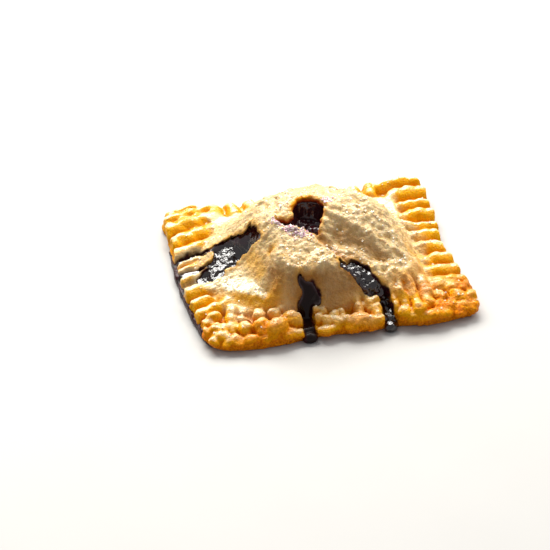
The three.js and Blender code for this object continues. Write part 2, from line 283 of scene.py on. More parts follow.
def sheet_outline(inset, seed, count=240):
    outline = []
    for angle in np.linspace(0, 2 * math.pi, count, endpoint=False):
        across = math.cos(angle)
        along = math.sin(angle)
        radius = (abs(across) ** CORNER_POWER + abs(along) ** CORNER_POWER) ** (-1 / CORNER_POWER)
        x = side_reach(math.copysign(1, across), BACK_REACH * along * radius) * across * radius
        y = (front_edge(x) if along < 0 else BACK_REACH) * along * radius
        outline.append((x, y))
    outline = np.array(outline)
    drift = inset + layered_bumps(outline, [(*WIDE_DRIFT, seed), (*NARROW_DRIFT, seed + 1)])
    lengths = np.linalg.norm(outline, axis=1)
    return outline * (1 - drift / lengths)[:, None]


bottom_outline = sheet_outline(BOTTOM_INSET, seed=1)
top_outline = sheet_outline(TOP_INSET, seed=4)
print("bottom sheet in mm:", (bottom_outline.max(axis=0) - bottom_outline.min(axis=0)).round(1))

# %% [markdown]
# The grid needs the distance from these outlines. For each short side of the outline the nearest
# point on it is found, and a place is inside when a line drawn from it sideways crosses the
# outline an odd number of times.

# %% Distance from an outline
def outline_distance(outline, x, y):
    """Distance from each (x, y) to a closed outline, negative inside it."""
    nearest = np.full(x.shape, 1e9)
    inside = np.zeros(x.shape, bool)
    for (ax, ay), (bx, by) in zip(outline, np.roll(outline, -1, axis=0)):
        run_x, run_y = bx - ax, by - ay
        share = ((x - ax) * run_x + (y - ay) * run_y) / (run_x ** 2 + run_y ** 2)
        share = np.clip(share, 0, 1)
        gap = (x - ax - share * run_x) ** 2 + (y - ay - share * run_y) ** 2
        nearest = np.minimum(nearest, gap)
        if ay != by:
            crosses = ((ay > y) != (by > y)) & (x < run_x * (y - ay) / run_y + ax)
            inside ^= crosses
    return np.where(inside, -1, 1) * np.sqrt(nearest)


bottom_edge = outline_distance(bottom_outline, flat_x, flat_y)
top_edge = outline_distance(top_outline, flat_x, flat_y)
print("outline inside the grid:", bool((bottom_edge[0] > 0).all()))

# %% [markdown]
# ## The dome
#
# The top sheet was laid over a heap of berries and sagged between them in the oven, so it is no
# plain mound: a shoulder runs from the hole to the right, a belly hangs in front, and the left
# front falls off to a low terrace. The main form is given as heights at points, as one would
# stick pins into a lump of clay, and a thin-plate spline bends a sheet through the pin heads.

# %% The pins of the dome
DOME_HALF_WIDTH = 40.8
DOME_HALF_DEPTH = 31.6
DOME_MIDDLE_X = -2.0
DOME_SQUARENESS = 2.4
FOOT_FILLET = 3.0
RIM_GROOVE = 2.8  # height of the sheet at the bottom of a fork groove
PIN_SLACK = 0.5  # 0 would bend the sheet through every pin exactly
FOOT_RINGS = [(1.1, 1.2), (1.35, -2.0)]  # share of the dome's width, and height in mm
OUTSIDE_SHARE = 1.3
OUTSIDE_HEIGHT = -2.0

# Heights of the sheet in mm: x, y, z.
PINS = [
    # the crown, round the hole
    (-5, 4.5, 27.2), (3, 2, 27.2), (10, 4, 26.8), (-8, 10, 25.8), (12, 9.5, 24.8), (20, 9, 22.2),
    (2, 14, 25.0), (-14.5, 9, 24.8), (-13, -2, 25.6), (-20, 4, 23.2), (1, -8, 25.8),
    # the roof in front of the hole, and its front edge
    (-12.5, -11, 24.4), (-4, -12.5, 24.4), (-17.5, -12, 23.4), (-14, -18, 22.6), (-6, -19, 23.0),
    (-0.5, -18, 22.6), (-20, -20.5, 20.4), (-15, -24.6, 20.6), (-9, -25.6, 21.2), (-3.5, -25.4, 21.2),
    (1, -24.2, 20.8), (-1.5, -13.5, 22.8), (-10, -21.5, 22.0), (-3, -21.5, 22.2),
    (-15, -21.5, 21.6), (-20, -16.0, 21.6),
    # the belly and the flap between the two cuts
    (-20.5, -26, 14.4), (-14.5, -28.6, 16.0), (-9, -29.4, 16.6), (-3, -29.2, 16.6), (3.2, -27.6, 17.2),
    (-19, -30, 9.6), (-12, -31.2, 11.2), (-4, -31.2, 11.2), (4.5, -31, 11.2),
    (7.0, -28.6, 14), (-20, -32.4, 5.4), (4, -33.4, 6),
    (-4, -33.6, 5.6), (-12, -33.8, 5.4), (9.6, -32, 8),
    # the shoulder, its shaded face, and the gentle slope right of the second cut
    (7.6, -8.1, 25.2), (10.5, -9.8, 24.4), (13.6, -11.9, 22.8), (17, -13.2, 20.6), (21, -15, 18.0),
    (25.3, -16.9, 15.2), (29.2, -18.6, 12.2), (33.4, -19.8, 8.4),
    (3, -14.9, 20.3), (5.8, -18.2, 19.6), (9.1, -20.6, 18.8), (12.2, -22.6, 17.0),
    (17.3, -22.6, 15.6), (21.1, -23.0, 14.8), (24.7, -23.5, 12.8), (29.7, -25.4, 9.4),
    (18.1, -27.2, 14.0), (21.5, -28.2, 12.8), (25.1, -28.6, 11.2), (19.8, -31.4, 11.2),
    (23.2, -32.0, 10.0), (13.4, -27.2, 14.8), (15.6, -30.6, 12.6), (28, -31.5, 7.4), (20, -35, 6.2),
    # the right slope
    (11, -3, 26.4), (22, -4, 22.0), (29, -4, 15.2), (34.5, -4, 6.6), (28, 6, 15.6), (33.5, 6, 6.4),
    (24, 14, 15.8), (31, 16, 6.4), (27.5, -11, 15.6), (33.5, -12, 7.6), (16, -7.5, 23.6),
    # the left slope, with the tear and the terrace
    (-22.3, -1.5, 23.0), (-29.3, 5.4, 14.8), (-30.9, 9.0, 12.6), (-35.9, 7.4, 10.0), (-39.5, 9, 6.8),
    (-26.9, 3.0, 18.0), (-22.0, -6.0, 21.6), (-24.7, -4.8, 17.0), (-26.6, -4.2, 14.4),
    (-28.4, -3.8, 12.4), (-30.6, -4.2, 10.8), (-33.1, -5.7, 9.6), (-35.9, -6.9, 8.8),
    (-39.0, -9.0, 7.8), (-33, 0, 11.4), (-38, 1, 8.8), (-41.9, -2.2, 7.4),
    (-30.3, -8.1, 9.7), (-28.7, -12.5, 9.8), (-27.4, -16.7, 9.9), (-26.0, -20.3, 10.0),
    (-24.3, -23.8, 9.6), (-22.4, -11.1, 18.6), (-23.0, -14.8, 16.0), (-23.2, -18.6, 13.6),
    (-22.4, -22.1, 12.4), (-37.0, -11.9, 8.0), (-34.5, -14.0, 8.6), (-31.5, -13.7, 9.2),
    (-29.3, -17.4, 9.3), (-36.3, -17.4, 7.6), (-33.9, -19.8, 8.0), (-31.3, -21.8, 8.4),
    (-28.8, -23.3, 8.6), (-26.4, -24.9, 8.5), (-38.0, -19.6, 4.8), (-35.3, -22.2, 4.8),
    (-33.0, -24.6, 4.8), (-29.8, -26.8, 4.9), (-26.9, -28.8, 5.2),
    # the back
    (-20, 16, 19.6), (-29, 17, 10.6), (-35, 18, 5.6), (-24.5, 14, 16.6), (-10, 20, 20.0), (-14, 26, 11.6),
    (-22, 25, 9.6), (2, 22, 19.6), (2, 28, 9.6), (14, 19, 18.8), (16, 26, 9.2), (26, 22, 8.6),
]
print("pins:", len(PINS), "highest in mm:", max(height for x, y, height in PINS))

# %% [markdown]
# The thin-plate spline is found by solving one set of equations: how hard each pin has to pull
# so that the sheet passes close to all of them. Two rings of further pins hold the sheet down
# round the dome, where a fillet leads over to the flat rim.

# %% Bend the sheet over the pins
def spline_kernel(distance):
    return distance ** 2 * np.log(np.maximum(distance, 1e-6))


def bend_sheet(pins, x, y):
    """Heights at (x, y) of the thin-plate spline through the pins."""
    pins = np.array(pins, float)
    count = len(pins)
    gaps = np.hypot(pins[:, None, 0] - pins[None, :, 0], pins[:, None, 1] - pins[None, :, 1])
    plane = np.column_stack([np.ones(count), pins[:, :2]])
    system = np.zeros((count + 3, count + 3))
    system[:count, :count] = spline_kernel(gaps) + PIN_SLACK * np.eye(count)
    system[:count, count:] = plane
    system[count:, :count] = plane.T
    weights = np.linalg.solve(system, np.append(pins[:, 2], [0, 0, 0]))
    result = weights[count] + weights[count + 1] * x + weights[count + 2] * y
    for (pin_x, pin_y, _), weight in zip(pins, weights):
        result = result + weight * spline_kernel(np.hypot(x - pin_x, y - pin_y))
    return result


def dome_share(x, y, shrink=0.0):
    """0 at the middle of the dome and 1 at its foot."""
    across = np.abs((x - DOME_MIDDLE_X) / (DOME_HALF_WIDTH - shrink))
    along = np.abs(y / (DOME_HALF_DEPTH - shrink))
    return (across ** DOME_SQUARENESS + along ** DOME_SQUARENESS) ** (1 / DOME_SQUARENESS)


def foot_ring(share, height, count=36):
    ring = []
    for angle in np.linspace(0, 2 * math.pi, count, endpoint=False):
        x, y = math.cos(angle), math.sin(angle)
        reach = share / dome_share(DOME_MIDDLE_X + x, y)
        ring.append((DOME_MIDDLE_X + x * reach, y * reach, height))
    return ring


share_flat = dome_share(flat_x, flat_y)
foot_pins = [pin for share, height in FOOT_RINGS for pin in foot_ring(share, height)]
mound = bend_sheet(PINS + foot_pins, flat_x, flat_y)
mound = np.where(share_flat < OUTSIDE_SHARE, mound, OUTSIDE_HEIGHT)
smooth_top = soft_max(mound, np.full_like(mound, RIM_GROOVE), FOOT_FILLET)
print("top of the plain form in mm:", round(float(smooth_top.max()), 1))

# %% [markdown]
# ## Folds
#
# The spline gives only the soft form. Where the sheet creased over a berry or was pulled at an
# opening it has sharper folds, and these are listed as lines, raised or sunk. A few knobs and
# pits are listed as points.

# %% Folds, pits and knobs
# Each fold: the points of its line, its height and its half-width, in mm.
FOLDS = [
    # the shoulder right of the hole, its steep face, and the valley that leads to the right cut
    ([(2.1, -3.6), (5.5, -6.0), (7.6, -8.1), (10.5, -9.8), (13.6, -11.9), (17.0, -13.2)], 1.1, 1.5),
    ([(17.0, -13.2), (21.0, -15.0), (25.3, -16.9), (28.8, -18.2)], 0.9, 1.2),
    ([(3.6, -12.0), (7.4, -14.6), (11.4, -17.0), (15.7, -19.2), (19.3, -20.8)], -1.3, 2.0),
    ([(-3.4, -11.4), (-1.4, -15.0), (1.4, -18.6), (3.0, -21.0), (4.0, -23.5)], -1.7, 1.8),
    ([(0.3, -4.7), (3.1, -6.9), (5.4, -9.4)], -1.5, 1.7),
    ([(2.6, 0.4), (6.0, -1.0), (10.0, -4.0)], 0.8, 1.4),
    # the roof over the front, and where it bends down
    ([(-20.4, -21.0), (-14.6, -24.8), (-9.3, -26.0), (-4.7, -25.8), (0, -24.2), (2.6, -23.4)],
     0.4, 1.2),
    ([(2.7, -23.4), (4.2, -26.0), (6.6, -28.2), (9.8, -31.0)], 0.9, 1.2),
    ([(-18.0, -17.6), (-12.0, -18.6), (-6.0, -20.0), (-1.0, -17.6)], -0.5, 1.2),
    # streaks where the sheet hangs over the belly
    ([(-17.0, -26.5), (-16.0, -31.0)], 0.7, 0.9), ([(-8.2, -27.8), (-9.0, -31.8)], 0.6, 0.8),
    ([(-1.8, -28.0), (-1.4, -31.5)], 0.7, 0.9), ([(1.6, -27.4), (2.6, -31.0)], -0.6, 0.8),
    # the bank of the tear
    ([(-21.8, -6.2), (-24.7, -5.2), (-28.2, -4.4), (-31.5, -5.2), (-35.9, -7.4)], 0.7, 1.2),
    ([(-19.0, 12.0), (-36.0, 16.0)], 0.7, 3.5),
    ([(-27.0, 5.4), (-21.0, 3.0), (-17.0, -1.0)], 1.0, 1.8),
    # the edge of the terrace at the left foot, with the hollow outside it
    ([(-41.0, -13.0), (-36.3, -16.9), (-33.9, -19.2), (-31.3, -21.2), (-28.8, -22.8), (-26.3, -24.6)],
     0.5, 1.0),
    ([(-41.0, -17.6), (-38.0, -21.2), (-34.4, -25.0), (-29.5, -28.6)], -1.2, 1.6),
    ([(-29.0, -23.9), (-24.3, -26.9)], 0.7, 0.7),
    ([(-24.0, -24.0), (-23.6, -26.5), (-24.0, -29.5)], -0.6, 1.2),
    ([(-23.5, -9.0), (-25.5, -14.0), (-24.5, -19.5)], 0.5, 1.2),
    # the right slope
    ([(15.1, -6.1), (18.8, -4.7), (23.7, -5.8), (26.6, -9.3)], 0.9, 1.2),
    ([(14.6, -25.0), (19.2, -24.4), (23.9, -22.6), (30.2, -18.4), (34.0, -12.0)], 0.9, 1.0),
    ([(16.8, -28.6), (21.0, -26.2), (26.2, -25.4), (30.6, -22.0)], 0.8, 0.9),
    ([(16.2, -20.4), (20.6, -19.6), (25.0, -20.4)], -0.7, 0.9),
    ([(12.0, 6.0), (29.0, -3.0)], 0.7, 2.2),
]
# Small pits and knobs: x, y, height and half-width in mm.
SPOTS = [
    (-20.0, -13.8, -2.4, 1.35), (-15.9, -8.9, 1.4, 1.5), (-17.6, -5.7, 0.9, 1.4),
    (-16.0, -11.8, 0.7, 1.2),
    (21.0, -9.2, -0.9, 1.3), (23.2, -12.4, -1.1, 1.3), (26.6, -13.8, -0.9, 1.2),
    (26.2, -19.4, -0.9, 1.1), (30.1, -15.5, -0.9, 1.2), (14.6, -20.6, -0.8, 1.1),
    (18.5, -1.0, 0.8, 1.6), (9.0, 1.0, 0.6, 1.5), (-7.0, -14.5, 0.5, 1.3),
]


def line_distance(x, y, points):
    """Distance from each (x, y) to a line through the points."""
    nearest = np.full(np.shape(x), 1e9)
    for start, end in zip(points[:-1], points[1:]):
        run_x, run_y = end[0] - start[0], end[1] - start[1]
        share = ((x - start[0]) * run_x + (y - start[1]) * run_y) / (run_x ** 2 + run_y ** 2)
        share = np.clip(share, 0, 1)
        gap = np.hypot(x - start[0] - share * run_x, y - start[1] - share * run_y)
        nearest = np.minimum(nearest, gap)
    return nearest


print("folds:", len(FOLDS), "pits and knobs:", len(SPOTS))

# %% [markdown]
# ## Slack
#
# Noise of several sizes adds the berries under the dough and the slack of the sheet; the finest
# is stretched into strands, as dough tears when it is pulled. The folds are laid on top, along
# lines that wander a little, so that none looks drawn with a ruler.

# %% The slack sheet
STRAND_LENGTH = 3.6  # how many times longer than thick
STRAND_BEND = (1.6, 7)  # how far a strand bends aside, and over what length
STRAND_LEAN = (0.25, 0.2)


def strands(points, seed, thickness=1.15):
    """Noise stretched along a slowly turning direction, like pulled dough."""
    bend = layered_bumps(points, [(*STRAND_BEND, seed)])
    turned = np.stack([
        (points[..., 0] + STRAND_LEAN[0] * points[..., 1]) / STRAND_LENGTH,
        points[..., 1] + bend - STRAND_LEAN[1] * points[..., 0],
    ], axis=-1)
    return bumps(turned, thickness, seed + 1)


def creased(points, cell, seed):
    """Noise of rounded blisters with sharp creases between them, from about -0.5 to 1."""
    return 2.2 * np.abs(bumps(points, cell, seed)) - 0.5


BERRY_BUMPS = [(0.45, 8, 11), (0.4, 4.2, 12), (0.2, 1.7, 23)]
BLISTER_RISE = 0.34
STRAND_RISE = 0.12
SLACK_AMOUNT = 0.85
CALM_TERRACE = (-33, -13, 8)  # x, y and reach of the smoothest part of the sheet
CALM_AMOUNT = 0.5
FOLD_WANDER = (0.7, 3)  # how far a fold strays from its line, and over what length


def slack_sheet():
    relief = layered_bumps(flat_points, BERRY_BUMPS)
    relief += BLISTER_RISE * creased(flat_points, 3.0, 13) + STRAND_RISE * strands(flat_points, 15)
    calm_x, calm_y, calm_reach = CALM_TERRACE
    calm = hump(np.hypot(flat_x - calm_x, flat_y - calm_y), 0, calm_reach)
    relief *= SLACK_AMOUNT - CALM_AMOUNT * calm
    wander_x = flat_x + layered_bumps(flat_points, [(*FOLD_WANDER, 14)])
    wander_y = flat_y + layered_bumps(flat_points, [(*FOLD_WANDER, 16)])
    for line, rise, spread in FOLDS:
        relief += rise * hump(line_distance(wander_x, wander_y, line), 0, spread)
    for x, y, rise, spread in SPOTS:
        relief += rise * hump(np.hypot(wander_x - x, wander_y - y), 0, spread)
    return relief


on_dome = step_between(share_flat, 1.02, 0.86)
folded = slack_sheet()
print("dome top in mm:", round(float((smooth_top + on_dome * folded).max()), 1))

# %% [markdown]
# ## The shelf round the dome
#
# The fork was pushed in from the edge only. Further in the sheet stays at its full height, so a
# shelf a little higher than the pressed grooves runs round the foot of the dome, and the
# grooves end in it.

# %% The shelf
SHELF_RISE = 2.9
SHELF_SLOPE = 1.6  # half the width of the shelf's slope
# How far in from the edge the fork reached, in mm.
LEFT_PRESS = 11.5
LEFT_BACK_PRESS = 16.5
RIGHT_PRESS = 12.0
BACK_PRESS = 8.5
FRONT_PRESS = 9.5
SHELF_WAVER = [(0.9, 3.2, 17)]
GROOVE_WAVES = [(0.22, 2.6, 18), (0.12, 1.3, 19)]


def pressed_reach(x, y):
    left = LEFT_PRESS + (LEFT_BACK_PRESS - LEFT_PRESS) * step_between(y, -4, 8)
    side = left + (RIGHT_PRESS - left) * step_between(x, -20, 20)
    at_side = step_between(np.abs(x) - np.abs(y), 4, 8)
    back_or_front = np.where(y > 0, BACK_PRESS, FRONT_PRESS)
    return back_or_front + (side - back_or_front) * at_side


shelf_start = pressed_reach(flat_x, flat_y) + layered_bumps(flat_points, SHELF_WAVER)
shelf = SHELF_RISE * step_between(-top_edge, shelf_start - SHELF_SLOPE, shelf_start + SHELF_SLOPE)
shelf *= step_between(-flat_y, 31, 26)  # the front has no shelf, its lumps go up to the dome
groove_wave = layered_bumps(flat_points, GROOVE_WAVES)
rim_top = soft_max(mound, RIM_GROOVE + shelf, FOOT_FILLET)
sheet_top = rim_top + on_dome * folded + (1 - on_dome) * groove_wave
print("shelf height in mm:", round(RIM_GROOVE + SHELF_RISE, 1))

# %% [markdown]
# ## The fork fingers
#
# Each push of the fork squeezes the dough up between its tines into fat fingers. They are not a
# pattern: each has its own width, lean and height, so each is listed with the line of its crest
# and half its width. Its cross-section is a stretched circle half sunk in the sheet.

# %% The fingers: points of the crest as x, y, z in mm, and half the width
LEFT_FINGERS = [
    ([(-47.1, 36.9, 6.0), (-37.8, 41.0, 5.4)], 2.4),
    ([(-49.4, 32.9, 6.6), (-41.4, 34.9, 6.8), (-33.8, 37.3, 6.4)], 2.7),
    ([(-50.6, 26.7, 6.8), (-41.5, 29.6, 7.4), (-32.3, 32.0, 6.6)], 3.7),
    ([(-50.2, 18.6, 6.6), (-42.4, 21.9, 7.0), (-33.8, 25.0, 6.4)], 3.4),
    ([(-51.2, 11.6, 6.2), (-42.3, 14.6, 6.6), (-33.9, 17.2, 6.2)], 3.0),
    ([(-52.0, 5.0, 5.4), (-44.5, 7.6, 5.4), (-38.6, 8.6, 5.4)], 1.7),
    ([(-52.6, 1.4, 5.0), (-46.3, 3.9, 5.0), (-42.3, 5.3, 4.8)], 1.6),
    ([(-52.6, -4.6, 5.4), (-49.0, -3.0, 5.6), (-44.3, -1.4, 5.0)], 2.4),
    ([(-52.6, -13.2, 6.4), (-47.3, -11.3, 7.0), (-39.6, -10.6, 6.6)], 3.4),
    ([(-51.0, -19.6, 6.2), (-44.4, -17.0, 6.6)], 2.6),
    ([(-49.8, -25.6, 6.4), (-43.5, -23.2, 6.7), (-37.7, -20.4, 6.6)], 2.6),
]
RIGHT_FINGERS = [
    ([(46.9, 38.4, 6.4), (41.1, 39.4, 6.8), (32.1, 38.0, 6.2)], 2.8),
    ([(48.2, 31.4, 6.4), (41.7, 32.0, 7.0), (36.8, 31.2, 6.4)], 3.6),
    ([(47.6, 24.2, 5.8), (42.0, 24.4, 6.2), (37.5, 24.0, 5.8)], 2.6),
    ([(47.8, 17.0, 6.2), (42.6, 17.6, 6.8), (38.4, 17.6, 6.2)], 3.3),
    ([(47.9, 10.2, 5.8), (40.2, 10.2, 6.2), (34.6, 13.0, 6.2)], 2.6),
    ([(46.8, 3.2, 6.2), (43.5, 4.0, 6.8), (37.2, 4.6, 6.4)], 3.1),
    ([(46.6, -4.0, 6.4), (41.7, -3.0, 6.8), (36.0, -3.0, 6.4)], 3.3),
    ([(47.0, -10.9, 6.2), (42.3, -10.4, 6.6), (35.5, -11.8, 6.4)], 3.1),
    ([(47.4, -17.8, 6.2), (39.2, -17.6, 6.8), (33.0, -18.9, 6.4)], 3.2),
    ([(47.6, -24.6, 6.2), (42.3, -24.2, 6.6), (35.9, -24.4, 6.6)], 3.0),
]
FRONT_FINGERS = [
    ([(-33.6, -27.9, 6.2), (-34.6, -32.5, 5.2)], 1.3),
    ([(10.6, -32.0, 9.4), (10.9, -36.6, 7.4)], 1.7),
    ([(6.6, -31.6, 9.8), (7.0, -36.8, 7.6)], 1.8),
    ([(18.3, -29.8, 12.6), (19.3, -33.6, 9.6), (19.9, -37.6, 7.2)], 2.0),
    ([(22.4, -28.0, 12.0), (22.6, -32.6, 10.0), (23.2, -36.4, 8.0)], 2.1),
    ([(26.2, -27.6, 11.6), (26.8, -31.6, 9.4), (27.2, -36.2, 7.4)], 2.3),
    ([(32.2, -24.0, 8.6), (32.4, -29.6, 7.4), (32.0, -35.4, 6.4)], 3.0),
]
BACK_FINGERS = [
    ([(-31, 40.0, 5.2), (-30.4, 32.0, 6.0)], 3.0), ([(-24, 40.4, 5.0), (-23.8, 32.6, 5.8)], 2.6),
    ([(-17, 40.2, 5.4), (-17.2, 32.8, 6.0)], 2.6), ([(-10.4, 40.6, 5.2), (-10.6, 33.4, 5.8)], 2.7),
    ([(-3.6, 40.2, 5.4), (-3.8, 33.4, 5.8)], 2.7), ([(3.2, 40.4, 5.2), (3.0, 33.6, 5.8)], 2.7),
    ([(10, 40.2, 5.4), (9.8, 33.4, 5.8)], 2.7), ([(16.6, 40.4, 5.4), (16.2, 33, 5.8)], 2.7),
    ([(23, 40.2, 6.0), (22.4, 33, 6.0)], 2.7), ([(29, 40.4, 5.6), (28.6, 34.6, 5.8)], 2.6),
]
all_fingers = LEFT_FINGERS + RIGHT_FINGERS + FRONT_FINGERS + BACK_FINGERS
print("fingers:", len(all_fingers))

# %% [markdown]
# The grid keeps all fingers and lumps together in one set of distances. A second, flat grid
# remembers how well each place is covered, which sets where the outline recedes. Two helpers
# serve every shape: one draws a smooth curve through points, the other cuts out the small part
# of the grid near a shape, so that adding it is quick.

# %% Room for fingers and lumps
FAR_OFF = 9.0  # distance in mm that stands for nothing near

dough_lumps = np.full((len(axis_x), len(axis_y), len(axis_z)), FAR_OFF)
lump_cover = np.zeros_like(flat_x)


def smooth_curve(points, closed, steps=6):
    """A Catmull-Rom curve through the points, which may carry more than two values."""
    points = np.array(points, float)
    count = len(points)
    if closed:
        padded = np.vstack([points[-1:], points, points[:2]])
        spans = count
    else:
        padded = np.vstack([2 * points[0] - points[1], points, 2 * points[-1] - points[-2]])
        spans = count - 1
    curve = []
    for span in range(spans):
        a, b, c, d = padded[span:span + 4]
        for step in range(steps):
            t = step / steps
            curve.append(0.5 * (2 * b + (c - a) * t + (2 * a - 5 * b + 4 * c - d) * t ** 2
                                + (3 * b - a - 3 * c + d) * t ** 3))
    if not closed:
        curve.append(points[-1])
    return np.array(curve)


def nearby(low, high):
    """The part of the grid between two corners in mm, and the points in it."""
    start = np.floor((np.array(low) - GRID_LOW) / CELL).astype(int)
    stop = np.ceil((np.array(high) - GRID_LOW) / CELL).astype(int) + 1
    box = tuple(slice(max(a, 0), b) for a, b in zip(start, stop))
    points = np.meshgrid(axis_x[box[0]], axis_y[box[1]], axis_z[box[2]], indexing="ij")
    return box, points


print("cells to fill:", dough_lumps.size)

# %% [markdown]
# Along a finger's crest the top goes up and down a little, and its width swells in and out. A
# cell's distance comes from how far it lies beside the crest and how far below or above it.

# %% Make the fingers
FINGER_HALF_HEIGHT = 3.2
FINGER_POWER = 1.9  # 2 would give an ellipse, less gives a slightly sharper ridge
FINGER_BLEND = 0.85
FINGER_WAVER = 0.25  # how far the crest goes up and down
WAVER_TURN = 1.9  # radians from one point of the crest to the next
FINGER_SWELL = 0.1  # share by which the width goes in and out
SWELL_TURN = 0.8  # radians a millimetre


def join_lump(box, distance):
    dough_lumps[box] = soft_min(dough_lumps[box], distance, FINGER_BLEND)
    flat_box = box[:2]
    covered = step_between(distance.min(axis=2), 1.0, -0.6)
    lump_cover[flat_box] = np.maximum(lump_cover[flat_box], covered)


def add_finger(crest, half_width, seed):
    line = smooth_curve(crest, closed=False, steps=4)
    line[:, 2] += FINGER_WAVER * np.sin(np.arange(len(line)) * WAVER_TURN + 6 * uneven(seed, 7))
    margin = half_width + 2
    low = line.min(axis=0) - [margin, margin, 9]
    high = line.max(axis=0) + [margin, margin, 2]
    box, (x, y, z) = nearby(low, high)
    aside = np.full(x.shape, 1e9)
    top = np.zeros(x.shape)
    for start, end in zip(line[:-1], line[1:]):
        run = end - start
        share = ((x - start[0]) * run[0] + (y - start[1]) * run[1]) / (run[0] ** 2 + run[1] ** 2)
        share = np.clip(share, 0, 1)
        gap = np.hypot(x - start[0] - share * run[0], y - start[1] - share * run[1])
        nearer = gap < aside
        aside = np.where(nearer, gap, aside)
        top = np.where(nearer, start[2] + share * run[2], top)
    swell = 1 + FINGER_SWELL * np.sin(SWELL_TURN * (x + y) + 6 * uneven(seed, 3))
    across = np.abs(aside / (half_width * swell)) ** FINGER_POWER
    upright = np.abs((z - top + FINGER_HALF_HEIGHT) / FINGER_HALF_HEIGHT) ** FINGER_POWER
    distance = ((across + upright) ** (1 / FINGER_POWER) - 1) * min(half_width, FINGER_HALF_HEIGHT)
    join_lump(box, distance)


for index, (crest, half_width) in enumerate(all_fingers):
    add_finger(crest, half_width, index + 1)
print("share of the plan under fingers:", round(float((lump_cover > 0.5).mean()), 2))

# %% [markdown]
# ## The lumps along the front
#
# The front was pressed twice, and the two presses crossed, so its fingers broke into lumps in
# two rows. Each lump is a squashed ball half sunk in the sheet, with its own place and size, so
# they are simply listed. The lowest row hangs over the edge of the bottom sheet.

# %% The front lumps: middle x, y, z and half-sizes in x, y, z, in mm
FRONT_LUMPS = [
    # left corner
    (-44.1, -28.5, 4.6, 2.6, 2.4, 2.4), (-37.1, -26.6, 4.6, 2.1, 2.8, 2.4),
    (-38.3, -30.5, 4.2, 2.2, 2.4, 2.4), (-43.9, -34.2, 3.8, 3.0, 2.4, 2.4),
    (-39.4, -34.8, 3.8, 3.2, 2.4, 2.4), (-34.5, -36.6, 4.4, 2.2, 2.8, 2.4),
    (-28.4, -31.4, 5.4, 2.1, 2.1, 2.2), (-28.8, -36.6, 4.8, 2.6, 2.6, 2.8),
    (-23.8, -38.9, 4.4, 4.0, 3.4, 3.6), (-22.9, -32.4, 5.6, 2.0, 2.0, 2.1),
    (-17.3, -35.6, 4.8, 3.2, 3.0, 3.2), (-33.2, -41.6, 3.0, 3.0, 2.0, 2.2),
    (-38.4, -40.4, 2.8, 2.4, 2.0, 2.0), (-48.6, -34.2, 3.0, 2.4, 2.2, 2.2),
    (-48.3, -30.6, 3.8, 1.9, 2.0, 2.0), (-43.3, -37.8, 3.0, 3.2, 2.2, 2.3),
    (-17.9, -40.8, 2.8, 2.4, 2.0, 2.0), (-28.0, -41.8, 2.6, 2.4, 1.8, 1.9),
    # between the two cuts
    (-8.6, -33.2, 6.4, 1.3, 1.3, 1.5), (-6.2, -34.4, 6.0, 1.3, 1.5, 1.8),
    (-8.0, -37.0, 5.0, 1.4, 1.6, 2.0), (-5.4, -38.6, 4.6, 1.7, 1.7, 2.2),
    (-2.6, -36.6, 5.2, 1.5, 1.7, 1.9), (0.2, -35.4, 5.2, 1.2, 1.4, 1.6),
    (-1.6, -39.6, 4.2, 1.8, 1.7, 2.0), (1.2, -39.2, 4.4, 1.6, 1.6, 1.8),
    (6.2, -40.2, 4.0, 4.4, 2.8, 2.8), (3.6, -41.2, 3.2, 3.0, 2.3, 2.2),
    (8.8, -41.6, 3.2, 3.0, 2.2, 2.2), (12.9, -37.4, 5.6, 1.7, 1.7, 1.9),
    (11.2, -36.0, 5.6, 1.4, 1.5, 1.7), (13.2, -33.6, 7.4, 1.5, 1.6, 1.6),
    (12.4, -41.3, 4.4, 2.3, 1.8, 2.0), (-6.6, -41.4, 3.0, 3.0, 1.8, 1.8),
    # right of the second cut
    (27.8, -39.6, 4.8, 2.5, 2.3, 2.6), (22.6, -39.6, 4.6, 2.4, 2.2, 2.4),
    (25.2, -41.5, 3.4, 2.6, 1.9, 2.0), (30.6, -41.8, 3.4, 2.6, 1.9, 2.1),
    (33.4, -41.6, 3.8, 2.4, 2.0, 2.0), (36.9, -41.0, 3.2, 2.4, 1.9, 1.9),
    (38.4, -26.4, 4.4, 3.8, 3.0, 2.4), (43.4, -28.8, 4.4, 3.4, 2.6, 2.2),
    (47.6, -30.2, 4.2, 2.4, 2.6, 2.6), (48.0, -35.0, 4.0, 2.3, 2.4, 2.2),
    (47.6, -38.6, 3.4, 2.2, 2.1, 1.9), (42.7, -34.3, 4.6, 1.6, 2.6, 2.0),
    (39.7, -38.3, 4.0, 2.0, 2.4, 1.9), (43.6, -39.4, 3.4, 2.4, 2.0, 2.0),
    (45.0, -35.9, 4.2, 1.7, 2.6, 1.9), (37.4, -33.4, 4.4, 2.2, 2.8, 2.0),
    (36.0, -37.4, 4.0, 1.9, 2.0, 1.8),
]
LUMP_PLUMP = 1.18  # all listed lumps are made this much larger
LUMP_LEAN = 0.3
LUMP_MARGIN = 2


def add_lump(x, y, z, half_x, half_y, half_z, plump=1.0):
    half = np.array([half_x, half_y, half_z]) * plump
    half_x, half_y, half_z = half
    middle = np.array([x, y, z])
    box, points = nearby(middle - half - LUMP_MARGIN, middle + half + LUMP_MARGIN)
    lean = LUMP_LEAN * uneven(x, 21)
    side = points[0] - x + lean * (points[1] - y)
    stretch = (side / half_x) ** 2 + ((points[1] - y) / half_y) ** 2 + ((points[2] - z) / half_z) ** 2
    join_lump(box, (np.sqrt(stretch) - 1) * half.min())


for lump in FRONT_LUMPS:
    add_lump(*lump, plump=LUMP_PLUMP)
print("front lumps:", len(FRONT_LUMPS))

# %% [markdown]
# Behind the listed lumps come two helpers that save listing more. A row of low lumps hides the
# cut edge of the two sheets along the front, and leaves the feet of the two cuts free. Small
# knobs of dough are strewn on and between the lumps, wherever the dough is low.

